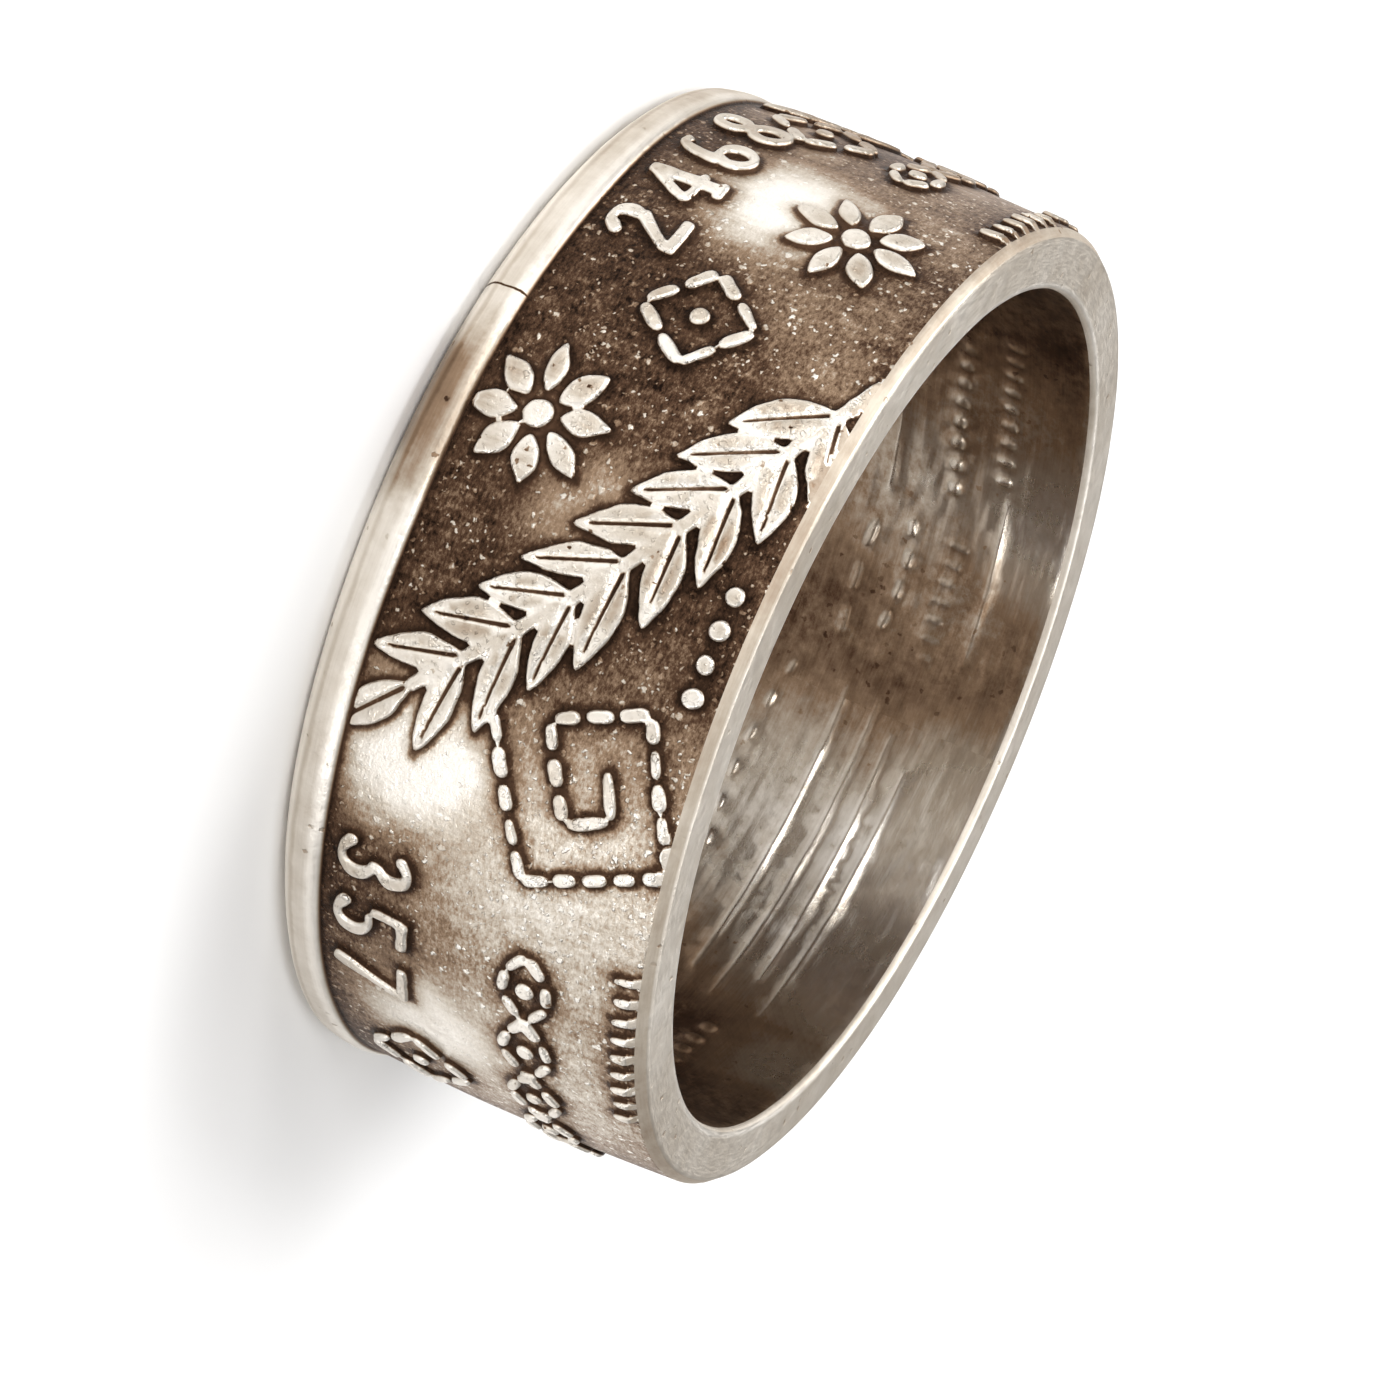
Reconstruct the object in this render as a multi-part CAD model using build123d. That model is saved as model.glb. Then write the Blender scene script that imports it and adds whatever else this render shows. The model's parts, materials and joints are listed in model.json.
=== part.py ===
from build123d import *
from collections import namedtuple
from math import atan2, cos, degrees, hypot, radians, sin
import os

# A finger ring forged from a silver coin, in one solid. Lengths are millimetres. The ring lies on
# its side: the axis of the finger hole is +Z, the coin's rim is the foot at z = 0, and the cut
# edge is on top. Places on the outside are given by the angle round the ring, from the front
# (-Y) towards +X, and by the height as a share of the struck field.

# Band
bore_diameter = 20.6
band_width = 9.35
wall_at_rim = 1.50        # wall at the foot of the raised border
wall_at_cut = 1.42        # wall just under the bevel
crown_rise = 0.09         # how far the field is domed above the straight line between the two
rim_wall = 0.62           # flat foot of the rim, from the bore's edge to where the rounding starts
rim_round_height = 0.42   # the rim turns from its foot into its side within this height
rim_side_wall = 1.52      # wall at the top of that rounding
border_width = 1.25       # the coin's raised rim
border_step = 0.15        # how far it stands above the field
bevel_width = 0.20
bevel_height = 0.24
bore_edge_round = 0.16

# Relief
relief_height = 0.17
relief_root = 0.25        # how deep each raised piece is rooted in the band
numeral_height = 1.90
numeral_width = 1.16
numeral_thick = 0.37      # upright strokes
numeral_thin = 0.24       # level strokes
numeral_pitch = 1.72
numeral_gap = 0.36        # from the border to the feet or heads of the numerals
leaf_length = 2.45
leaf_width = 0.88
leaf_pitch = 1.45
leaf_spread = 34.0        # angle between a leaf and its stem
stem_width = 0.34
block_length = 0.66
block_width = 0.31
block_gap = 0.13
key_unit = 1.02           # step of the square spiral
lozenge_reach = 1.30      # from a lozenge's middle to its corners
wave_length = 4.6
wave_swing = 0.62
bead_radius = 0.24
bead_pitch = 0.80
rosette_radius = 1.72
petal_width = 0.60
petal_count = 8
boss_radius = 0.36
tick_length = 0.95
tick_width = 0.24
tick_pitch = 0.58

bore_radius = bore_diameter / 2
field_foot = border_width
field_top = band_width - bevel_height
field_height = field_top - field_foot
foot_radius = bore_radius + wall_at_rim
top_radius = bore_radius + wall_at_cut
middle_radius = (foot_radius + top_radius) / 2 + crown_rise

# What is raised and where: angles in degrees, heights as shares of the struck field, and turn as
# the angle by which a motif leans from upright.
Number = namedtuple("Number", "figures angle turn")
Spray = namedtuple("Spray", "start start_height bend bend_height end end_height")
Spot = namedtuple("Spot", "angle height turn")
Run = namedtuple("Run", "start end height")

numbers = [Number("2468", -52, 180), Number("357", 47, 0), Number("15", 112, 180), Number("360", 214, 0)]
sprays = [
    Spray(-33, 1.02, -6, 0.78, 17, 0.16),
    Spray(122, 0.16, 146, 0.20, 170, 0.98),
    Spray(232, 0.98, 256, 0.72, 274, 0.24),
]
keys = [Spot(21, 0.68, 24), Spot(104, 0.68, -15), Spot(200, 0.64, 68)]
lozenges = [Spot(-31, 0.46, 8), Spot(72, 0.27, 0), Spot(131, 0.60, 0), Spot(243, 0.42, 12), Spot(287, 0.30, 0)]
rosettes = [Spot(-50, 0.68, 10), Spot(-14, 0.20, 30), Spot(169, 0.36, 20), Spot(226, 0.70, 0)]
waves = [Run(42, 94, 0.66), Run(-96, -66, 0.62)]
bead_rows = [Run(-6, 9, 0.93), Run(144, 158, 0.93), Run(262, 278, 0.93)]
tick_rows = [Run(40, 66, 0.985), Run(-78, -60, 0.975), Run(118, 140, 0.98), Run(238, 256, 0.14)]


def arc_length(angle):
    """Distance round the outside for an angle in degrees."""
    return radians(angle) * middle_radius


def height_at(share):
    """Height above the foot for a share of the struck field."""
    return field_foot + share * field_height


def outer_profile():
    """Side of the band from the rim's foot, over border, field and bevel, to the cut face."""
    rim_foot = (bore_radius + rim_wall, 0)
    rim_side = (bore_radius + rim_side_wall, rim_round_height)
    border_peak = (foot_radius + border_step, border_width - border_step)
    field_middle = (middle_radius, (field_foot + field_top) / 2)
    return [
        TangentArc(rim_foot, rim_side, tangent=(1, 0)),
        Line(rim_side, border_peak),
        Line(border_peak, (foot_radius, field_foot)),
        Line((foot_radius, field_foot), field_middle),
        Line(field_middle, (top_radius, field_top)),
        Line((top_radius, field_top), (top_radius - bevel_width, band_width)),
    ]


def band():
    """The plain band: its section turned about the axis of the finger hole."""
    cut_edge = (top_radius - bevel_width, band_width)
    bore_top = (bore_radius, band_width)
    bore_foot = (bore_radius, 0)
    inside = [Line(cut_edge, bore_top), Line(bore_top, bore_foot), Line(bore_foot, (bore_radius + rim_wall, 0))]
    section = make_face(outer_profile() + inside)
    inner_corners = section.vertices().group_by(Axis.X)[0]
    section = fillet(inner_corners, bore_edge_round)
    return revolve(Plane.XZ * section, Axis.Z)


def relief_layer():
    """The thin dome on the field within which every motif is raised."""
    section = Polyline(
        (foot_radius + relief_height, field_foot),
        (middle_radius + relief_height, (field_foot + field_top) / 2),
        (top_radius + relief_height, field_top),
        (top_radius - relief_root, field_top),
        (foot_radius - relief_root, field_foot),
        close=True,
    )
    return revolve(Plane.XZ * make_face(section), Axis.Z)


def stamp(outline, along, height, turn=0):
    """Prism of a flat outline, pushed out through the wall at a place on the outside."""
    angle = radians(-90) + along / middle_radius
    root = foot_radius - relief_root * 2
    outward = Vector(cos(angle), sin(angle), 0)
    seat = Plane(
        origin=outward * root + Vector(0, 0, height), x_dir=Vector(-sin(angle), cos(angle), 0), z_dir=outward
    )
    return extrude(seat * Rot(0, 0, turn) * outline, relief_root * 2 + relief_height * 3)


def bowl(centre_height, wide, tall, start=0, end=360):
    """Oval ring of a numeral, or the part of it between two angles: thick at its sides and thin
    above and below."""
    if end - start == 360:
        ring = Ellipse(wide, tall) - Ellipse(wide - numeral_thick, tall - numeral_thin)
        return Pos(0, centre_height) * ring
    middle = (0, centre_height)
    outer = EllipticalCenterArc(middle, wide, tall, start, arc_size=end - start)
    inner = EllipticalCenterArc(middle, wide - numeral_thick, tall - numeral_thin, start, arc_size=end - start)
    return make_face([outer, Line(outer @ 1, inner @ 1), inner, Line(inner @ 0, outer @ 0)])


def stroke(start, end, start_width, end_width):
    """Straight tapered stroke of a numeral."""
    first = Vector(*start)
    last = Vector(*end)
    run = (last - first).normalized()
    side = Vector(-run.Y, run.X)
    corners = [first + side * start_width / 2, last + side * end_width / 2]
    corners += [last - side * end_width / 2, first - side * start_width / 2]
    return make_face(Polyline(*corners, close=True))


def ball(x, y):
    """Round end of an open bowl."""
    return Pos(x, y) * Circle(numeral_thick * 0.45)


def numeral(figure):
    """Outline of one figure, upright about its own centre."""
    half = numeral_height / 2
    wide = numeral_width / 2
    thick = numeral_thick
    thin = numeral_thin
    slab = thick * 0.8
    upper = (half * 0.50, wide * 0.86, half * 0.50)
    lower = (half * -0.45, wide, half * 0.55)
    if figure == "0":
        return bowl(0, wide, half)
    if figure == "1":
        stem = Rectangle(thick, numeral_height)
        foot = Pos(0, thin / 2 - half) * Rectangle(wide * 1.3, thin)
        return stem + foot + stroke((0, half - thin / 2), (-wide * 0.70, half * 0.62), thin, thin * 1.4)
    if figure == "2":
        slope = stroke((wide * 0.62, half * 0.30), (-wide * 0.80, thin - half), thick, thin)
        foot = Pos(0, slab / 2 - half) * Rectangle(wide * 1.9, slab)
        return bowl(*upper, -35, 165) + slope + foot + ball(-wide * 0.60, half * 0.60)
    if figure == "3":
        ends = ball(-wide * 0.56, half * 0.68) + ball(-wide * 0.68, -half * 0.66)
        return bowl(*upper, -100, 150) + bowl(*lower, -150, 100) + ends
    if figure == "4":
        stem = Pos(wide * 0.35, 0) * Rectangle(thick, numeral_height)
        level = Pos(0, -half * 0.32) * Rectangle(wide * 2, thin)
        foot = Pos(wide * 0.35, thin / 2 - half) * Rectangle(wide * 1.1, thin)
        return stem + level + foot + stroke((wide * 0.35, half * 0.94), (-wide * 0.94, -half * 0.32), thin, thin)
    if figure == "5":
        flag = Pos(wide * 0.12, half - slab / 2) * Rectangle(wide * 1.5, slab)
        neck = stroke((-wide * 0.55, half - thin / 2), (-wide * 0.60, 0), thin, thin)
        return bowl(*lower, -150, 125) + flag + neck + ball(-wide * 0.68, -half * 0.66)
    if figure == "6":
        return bowl(*lower) + bowl(-half * 0.10, wide, half * 1.10, 62, 185)
    if figure == "7":
        level = Pos(0, half - slab / 2) * Rectangle(wide * 2, slab)
        return level + stroke((wide * 0.78, half - thin), (-wide * 0.30, -half), thin, thick)
    return bowl(*upper) + bowl(*lower)


def number_stamps(number):
    """A row of figures beside the border, read from either edge."""
    reading = cos(radians(number.turn))
    height = field_foot + numeral_gap + numeral_height / 2
    first = arc_length(number.angle) - reading * numeral_pitch * (len(number.figures) - 1) / 2
    places = [first + reading * numeral_pitch * i for i in range(len(number.figures))]
    return [stamp(numeral(f), s, height, number.turn) for f, s in zip(number.figures, places)]


def leaf():
    """Pointed leaf that starts at its stalk and lies along +X."""
    half = leaf_width / 2
    upper = ThreePointArc((0, 0), (leaf_length * 0.45, half), (leaf_length, 0))
    lower = ThreePointArc((leaf_length, 0), (leaf_length * 0.45, -half), (0, 0))
    return make_face([upper, lower])


def spray_route(spray):
    """Curve of a spray's stem on the unrolled outside, as arc length and height."""
    start = (arc_length(spray.start), height_at(spray.start_height))
    bend = (arc_length(spray.bend), height_at(spray.bend_height))
    end = (arc_length(spray.end), height_at(spray.end_height))
    return Bezier(start, bend, end)


def spray_stamps(spray):
    """A bent stem with pairs of leaves and one at its tip."""
    route = spray_route(spray)
    count = max(2, round(route.length / leaf_pitch))
    stamps = []
    for i in range(count):
        near = route @ (i / count)
        far = route @ ((i + 1) / count)
        heading = degrees(atan2(far.Y - near.Y, far.X - near.X))
        reach = hypot(far.X - near.X, far.Y - near.Y) + stem_width * 0.6
        middle = (near + far) / 2
        stamps.append(stamp(Rectangle(reach, stem_width), middle.X, middle.Y, heading))
        if i > 0:
            stamps.append(stamp(leaf(), near.X, near.Y, heading + leaf_spread))
            stamps.append(stamp(leaf(), near.X, near.Y, heading - leaf_spread))
    stamps.append(stamp(leaf(), far.X, far.Y, heading))
    return stamps


def block_row(near, far):
    """Blocks with small gaps along a straight line on the unrolled outside."""
    length = hypot(far[0] - near[0], far[1] - near[1])
    heading = degrees(atan2(far[1] - near[1], far[0] - near[0]))
    count = max(1, round(length / (block_length + block_gap)))
    pitch = length / count
    block = Rectangle(pitch - block_gap, block_width)
    shares = [(i + 0.5) / count for i in range(count)]
    return [
        stamp(block, near[0] + (far[0] - near[0]) * t, near[1] + (far[1] - near[1]) * t, heading) for t in shares
    ]


def block_path(spot, unit, turns):
    """Rows of blocks from corner to corner of a path, given in units about its own middle."""
    lean = radians(spot.turn)
    middle = (arc_length(spot.angle), height_at(spot.height))
    corners = []
    for across, up in turns:
        x = unit * (across * cos(lean) - up * sin(lean))
        y = unit * (across * sin(lean) + up * cos(lean))
        corners.append((middle[0] + x, middle[1] + y))
    rows = [block_row(near, far) for near, far in zip(corners, corners[1:])]
    return [block for row in rows for block in row]


def key_stamps(key):
    """A square spiral laid in blocks, the common key pattern."""
    turns = [(-2.5, -1.5), (2, -1.5), (2, 2), (-1.5, 2), (-1.5, -0.25), (0.75, -0.25), (0.75, 0.9), (-0.4, 0.9)]
    return block_path(key, key_unit, turns)


def lozenge_stamps(spot):
    """A lozenge of blocks with a bead in its middle."""
    bead = stamp(Circle(bead_radius), arc_length(spot.angle), height_at(spot.height))
    return block_path(spot, lozenge_reach, [(-1, 0), (0, -1), (1, 0), (0, 1), (-1, 0)]) + [bead]


def bead_stamps(run):
    """A row of beads."""
    start = arc_length(run.start)
    length = arc_length(run.end) - start
    count = max(1, round(length / bead_pitch))
    places = [start + (i + 0.5) * length / count for i in range(count)]
    return [stamp(Circle(bead_radius), place, height_at(run.height)) for place in places]


def wave_stamps(run):
    """Two crossing wavy lines of blocks with a bead in each eye."""
    start = arc_length(run.start)
    length = arc_length(run.end) - start
    eyes = max(1, round(length / (wave_length / 2)))
    eye = length / eyes
    count = max(2, round(length * 1.1 / (block_length + block_gap)))
    step = length / count
    middle = height_at(run.height)
    stamps = []
    for side in (1, -1):
        for i in range(count):
            along = (i + 0.5) * step
            swing = side * wave_swing * sin(radians(180 * along / eye))
            slope = side * wave_swing * cos(radians(180 * along / eye)) * radians(180) / eye
            reach = step * hypot(1, slope) - block_gap
            block = Rectangle(reach, block_width)
            stamps.append(stamp(block, start + along, middle + swing, degrees(atan2(slope, 1))))
    for i in range(eyes):
        stamps.append(stamp(Circle(bead_radius), start + (i + 0.5) * eye, middle))
    return stamps


def rosette_stamps(spot):
    """Petals round a boss, the common coin rosette."""
    along = arc_length(spot.angle)
    height = height_at(spot.height)
    petal_length = rosette_radius - boss_radius * 1.25
    upper = ThreePointArc((0, 0), (petal_length * 0.6, petal_width / 2), (petal_length, 0))
    lower = ThreePointArc((petal_length, 0), (petal_length * 0.6, -petal_width / 2), (0, 0))
    petal = Pos(boss_radius * 1.25, 0) * make_face([upper, lower])
    stamps = [stamp(Circle(boss_radius), along, height)]
    for i in range(petal_count):
        stamps.append(stamp(petal, along, height, spot.turn + 360 * i / petal_count))
    return stamps


def tick_stamps(run):
    """A row of short upright strokes, most of them cut short by an edge of the field."""
    start = arc_length(run.start)
    length = arc_length(run.end) - start
    count = max(2, round(length / tick_pitch))
    tick = Rectangle(tick_width, tick_length)
    lean = 12
    return [stamp(tick, start + length * i / count, height_at(run.height), lean) for i in range(count)]


def relief():
    """Every motif, trimmed to the relief layer."""
    stamps = []
    for number in numbers:
        stamps += number_stamps(number)
    for spray in sprays:
        stamps += spray_stamps(spray)
    for key in keys:
        stamps += key_stamps(key)
    for spot in lozenges:
        stamps += lozenge_stamps(spot)
    for run in waves:
        stamps += wave_stamps(run)
    for spot in rosettes:
        stamps += rosette_stamps(spot)
    for run in bead_rows:
        stamps += bead_stamps(run)
    for run in tick_rows:
        stamps += tick_stamps(run)
    return relief_layer() & Compound(children=[solid for piece in stamps for solid in piece.solids()])


def ring_band():
    """The whole ring: the band with its relief raised on it."""
    return band() + relief()


os.makedirs("parts", exist_ok=True)
export_step(ring_band(), "parts/ring_band.step")
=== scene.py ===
"""Looks of a finger ring forged from a silver coin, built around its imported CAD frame.

The band is one mesh: the struck face with its raised work, the coin's rim, the sanded cut edge and
the wall of the finger hole. Geometry Nodes lay out what repeats, and the struck face is meshed
along the outlines that they give. Lengths inside the makers are millimetres.
"""

import json
import math
from collections import namedtuple
from functools import partial
from types import SimpleNamespace

import bpy
import numpy as np
from bpy.props import FloatProperty, FloatVectorProperty, IntProperty, PointerProperty
from mathutils import Matrix, Vector, noise
from mathutils.geometry import delaunay_2d_cdt


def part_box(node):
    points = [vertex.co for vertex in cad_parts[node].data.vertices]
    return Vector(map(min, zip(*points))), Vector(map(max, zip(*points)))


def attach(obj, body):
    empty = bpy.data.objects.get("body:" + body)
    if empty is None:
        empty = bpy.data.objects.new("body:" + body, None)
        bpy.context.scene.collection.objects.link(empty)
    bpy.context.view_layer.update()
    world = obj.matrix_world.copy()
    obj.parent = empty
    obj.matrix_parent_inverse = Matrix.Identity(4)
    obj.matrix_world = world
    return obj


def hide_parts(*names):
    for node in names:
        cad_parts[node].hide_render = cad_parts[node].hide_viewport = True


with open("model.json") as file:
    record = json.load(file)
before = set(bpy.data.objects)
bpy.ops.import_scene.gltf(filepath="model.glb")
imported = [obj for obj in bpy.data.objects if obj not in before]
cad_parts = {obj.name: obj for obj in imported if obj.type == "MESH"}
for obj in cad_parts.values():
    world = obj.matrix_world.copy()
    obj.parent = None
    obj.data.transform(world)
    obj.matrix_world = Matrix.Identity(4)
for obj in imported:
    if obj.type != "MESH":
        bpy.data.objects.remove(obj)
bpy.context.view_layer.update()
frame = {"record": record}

bl_info = {
    "name": "Coin ring looks",
    "version": (1, 0, 0),
    "blender": (4, 5, 0),
    "location": "View3D > Sidebar > Coin ring",
    "description": "Makes the struck face, rim, cut edge and finger hole of a coin ring",
    "category": "Add Mesh",
}

MM = 0.001
NODE = "ring_band"
BORE = next(m for m in frame["record"]["mounts"] if m["name"] == "finger_bore")
BORE_RADIUS = BORE["dims"]["r_mm"]
BAND_WIDTH = (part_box(NODE)[1].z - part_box(NODE)[0].z) / MM

Number = namedtuple("Number", "figures angle turn")
Spray = namedtuple("Spray", "start start_height bend bend_height end end_height")
Spot = namedtuple("Spot", "angle height turn")
Run = namedtuple("Run", "start end height")
Trace = namedtuple("Trace", "start end height sag step gap width")
Patch = namedtuple("Patch", "angle height reach strength")
Area = namedtuple("Area", "left right low high")
Grid = namedtuple("Grid", "left low step values")
Lines = namedtuple("Lines", "levels pitch above below")
Sheet = namedtuple("Sheet", "points triangles label side")
Layer = namedtuple("Layer", "pitch depth seed")

# Where the raised work stands: degrees round the ring from the front towards +X, heights as shares
# of the struck field, and turns as the lean from upright.
NUMBERS = [
    Number("2468", -52, 180), Number("357", 47, 0), Number("15", 112, 180), Number("360", 214, 0),
]
SPRAYS = [
    Spray(-33, 1.02, -6, 0.78, 17, 0.16),
    Spray(122, 0.16, 146, 0.20, 170, 0.98),
    Spray(232, 0.98, 256, 0.72, 274, 0.24),
]
KEYS = [Spot(21, 0.68, 24), Spot(104, 0.68, -15), Spot(200, 0.64, 68)]
LOZENGES = [
    Spot(-31, 0.46, 8), Spot(72, 0.27, 0), Spot(131, 0.60, 0), Spot(243, 0.42, 12), Spot(287, 0.30, 0),
]
ROSETTES = [Spot(-50, 0.68, 10), Spot(-14, 0.20, 30), Spot(169, 0.36, 20), Spot(226, 0.70, 0)]
WAVES = [Run(42, 94, 0.66), Run(-96, -66, 0.62)]
BEADS = [Run(-6, 9, 0.93), Run(144, 158, 0.93), Run(262, 278, 0.93)]
TICKS = [Run(40, 66, 0.985), Run(-78, -60, 0.975), Run(118, 140, 0.98), Run(238, 256, 0.14)]
TICK_LEAN = 102       # degrees between a tick and its row

# Corners of a square spiral and of a lozenge, in steps of each, and a leaf's vein, in leaves.
KEY_TURNS = [
    (-2.5, -1.5), (2, -1.5), (2, 2), (-1.5, 2), (-1.5, -0.25), (0.75, -0.25), (0.75, 0.9), (-0.4, 0.9),
]
LOZENGE_TURNS = [(-1, 0), (0, -1), (1, 0), (0, 1), (-1, 0)]
VEIN = np.array([(0.10, -0.01), (0.84, 0), (0.10, 0.01)])

# What the tree of motifs is given, with the kind of each socket.
MOTIF_INPUTS = {
    "Route": "Geometry", "Motif": "Object", "Step": "Float", "Anchor": "Float", "Fill": "Float",
    "Gap": "Float", "Motif Length": "Float", "Motif Width": "Float", "Turn": "Float", "Wobble": "Float",
    "Seed": "Int", "Skip First": "Bool", "Material": "Material",
}

# How far after the seed the random draws of each kind of work start.
DRAWS = {"blocks": 0, "waves": 10, "beads": 14, "sprays": 20, "rosettes": 40, "ticks": 50, "traces": 60}

# Flattened traces inside the hole: long ridges, whose step is longer than they are, and rows of
# short marks.
TRACES = [
    Trace(134, 182, 4.7, 0.35, 90, 0, 0.16), Trace(132, 180, 5.6, 0.30, 90, 0, 0.13),
    Trace(136, 179, 6.3, 0.30, 90, 0, 0.12), Trace(130, 176, 7.0, 0.25, 90, 0, 0.12),
    Trace(187, 206, 4.2, 0.15, 1.1, 0.35, 0.30), Trace(190, 208, 5.4, -0.20, 0.8, 0.3, 0.24),
    Trace(212, 240, 5.9, 0.20, 0.62, 0.3, 0.34), Trace(108, 126, 6.4, 0.10, 0.7, 0.3, 0.4),
    Trace(262, 300, 4.0, 0.3, 0.9, 0.35, 0.3), Trace(20, 66, 5.0, -0.4, 90, 0, 0.15),
    Trace(24, 62, 6.0, -0.35, 90, 0, 0.13), Trace(318, 352, 4.4, 0.3, 1.2, 0.4, 0.34),
    Trace(188, 207, 6.5, 0.1, 0.52, 0.36, 0.5), Trace(186, 216, 7.35, 0.2, 90, 0, 0.09),
    Trace(208, 232, 4.7, -0.3, 90, 0, 0.09), Trace(216, 244, 7.2, 0.1, 0.56, 0.34, 0.42),
    Trace(152, 184, 3.2, 0.4, 0.9, 0.5, 0.2),
]

# Places on the struck field polished back to silver, which are also painted highlights: they are drawn bright
# where the lamps' reflections fall on the field.
RUBS_AND_HIGHLIGHTS = [
    Patch(-52, 4.8, 3.5, 1.1), Patch(-13, 2.9, 1.7, 0.72), Patch(-6, 5.0, 2.3, 0.48), Patch(24, 3.1, 3.3, 1.1),
    Patch(62, 4.0, 3.2, 0.9), Patch(-76, 6.8, 2.2, 0.62), Patch(100, 3.2, 2.6, 0.95), Patch(133, 6.8, 2.6, 0.9),
    Patch(158, 3.0, 2.2, 0.85), Patch(184, 5.6, 2.6, 0.95), Patch(212, 7.4, 2.2, 0.8), Patch(232, 3.4, 2.6, 0.95),
    Patch(262, 6.4, 2.4, 0.85), Patch(286, 2.9, 2.1, 0.75), Patch(107, 4.6, 1.8, 0.62), Patch(126, 5.4, 2.2, 0.70),
    Patch(164, 4.2, 1.7, 0.60), Patch(191, 6.9, 2.1, 0.70), Patch(204, 6.3, 1.7, 0.55), Patch(240, 2.5, 2.2, 0.75),
    Patch(269, 5.2, 1.9, 0.60), Patch(293, 4.1, 1.8, 0.60),
]

# Wide places where the sandy field is drawn paler all over: painted light, where reflected light would
# brighten it.
PAINTED_LIGHT_PATCHES = [
    Patch(33, 7.2, 7.0, 0.68), Patch(62, 6.4, 7.0, 0.58), Patch(-84, 7.4, 5.5, 0.46), Patch(-58, 7.6, 3.0, 0.36),
    Patch(-41, 7.0, 3.6, 0.24), Patch(-30, 8.3, 2.2, 0.28),
    Patch(108, 6.0, 5.5, 0.48), Patch(172, 6.5, 5.5, 0.42), Patch(244, 6.0, 5.5, 0.46), Patch(290, 6.5, 4.5, 0.35),
]

# Wide places where everything kept a thin film of oxide.
SMOKED = [Patch(-92, 5.2, 10.0, 0.46), Patch(192, 5.0, 8.0, 0.30)]

# Dull places on the coin's rim.
DULL = [
    Patch(-82, 0.7, 8.0, 0.66), Patch(-9, 0.7, 2.8, 1.0), Patch(120, 0.7, 5.0, 0.56), Patch(205, 0.7, 6.0, 0.62),
    Patch(262, 0.7, 4.0, 0.50),
]

# Paler places on the wall of the hole, where the mandrel and the finger touch most, which are also painted
# highlights: they are drawn bright where the lamps' reflections fall in the hole.
INNER_RUBS_AND_HIGHLIGHTS = [
    Patch(160, 4.6, 5.6, 0.80), Patch(164, 9.0, 5.4, 1.00), Patch(162, 6.8, 3.0, 1.00), Patch(148, 6.8, 4.4, 0.84),
    Patch(212, 5.0, 4.2, 0.60), Patch(213, 8.6, 3.8, 0.80), Patch(225, 7.0, 4.0, 0.42), Patch(200, 7.0, 4.4, 0.34),
    Patch(140, 8.6, 2.8, 1.00), Patch(122, 8.6, 2.4, 0.76),
    Patch(232, 2.6, 3.6, 0.32), Patch(8, 3.6, 8.0, 1.00), Patch(54, 4.2, 5.5, 0.70), Patch(322, 3.6, 7.5, 1.00),
]

# Lines that the meshes are cut along: levels of the distance from an outline, the pitch of points
# on them, and the distances past which the ground on either side is open.
FACE_LINES = Lines((0.02, -0.02, -0.055, -0.09), 0.08, 0.08, -0.14)
VEIN_LINES = Lines((0.035, 0.09), 0.10, 0.14, -math.inf)
TRACE_LINES = Lines((0.06, 0.0, -0.05), 0.12, 0.14, -0.13)

# Unevenness of hand work, as layers of soft noise: in the relief's outlines, in the band's radius
# and in the course of its border.
RAGGED = [Layer(0.45, 0.035, 120), Layer(0.22, 0.0175, 160)]
LUMPS = [Layer(7.0, 0.055, 0), Layer(2.2, 0.014, 40)]
DRIFT = [Layer(5.0, 0.07, 80)]

AROUND = 720          # points round each ring of the section
GRID_STEP = 0.05      # mesh of the height grid
FIELD_PITCH = 0.17    # points on the open struck field
WALL_PITCH = 0.32     # points on the open wall of the hole
SIDE_PITCH = 0.2      # points on a sheet's two sides
EDGE_CLEAR = 0.05     # relief lines end this far from a sheet's edges
REACH = 0.6           # how far from the relief its shelter is felt
WALL_RUN = 0.08       # how far the relief's walls lean
BORDER_RUN = 0.16     # how far from the border the relief gains its height
DOME_RUN = 0.4        # how far in from its outline the relief's top still rises
TOP_DOME = 0.14       # share of its height in that rise
VEIN_RUN = 0.06       # how far a vein's sides lean
VEIN_DEPTH = 0.85     # share of the relief's height that a vein takes away
TRACE_RUN = 0.11      # how far the traces' sides lean
TRACE_LIFT = 0.05     # how far the traces stand off the wall
TRIM_LEAST = 0.01     # the bevel shows on the relief where it takes more than this
TRIM_RAISED = 0.92    # how raised the relief counts there
BORDER_PEAK = 0.74    # where the border is highest, in its widths
PETAL_SEAT = 1.25     # where the petals start, in radii of the boss
STEM_LAP = 0.6        # lap of a stem's parts, in its widths
LENGTH_WOBBLE = 0.6   # how much of the wobble a motif's length takes
LEAN_WOBBLE = 0.35    # and its lean
CRACK_AT = -5.3       # how far round the ring from the front the rim is cracked
ROW_ANGLES = -180 + np.arange(AROUND) * 360 / AROUND
FIELD_RADIUS = BORE_RADIUS + 1.5
FRAME_PX = 1400       # side of the camera's frame
FLOOR_SIDE = 3.0      # metres
WORLD_STRENGTH = 0.42

# Where each colour of the silver stands, from deep oxide to bare metal.
TONES = [(0.0, "deep"), (0.22, "brown"), (0.46, "tan"), (0.70, "worn"), (1.0, "bright")]

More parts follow.
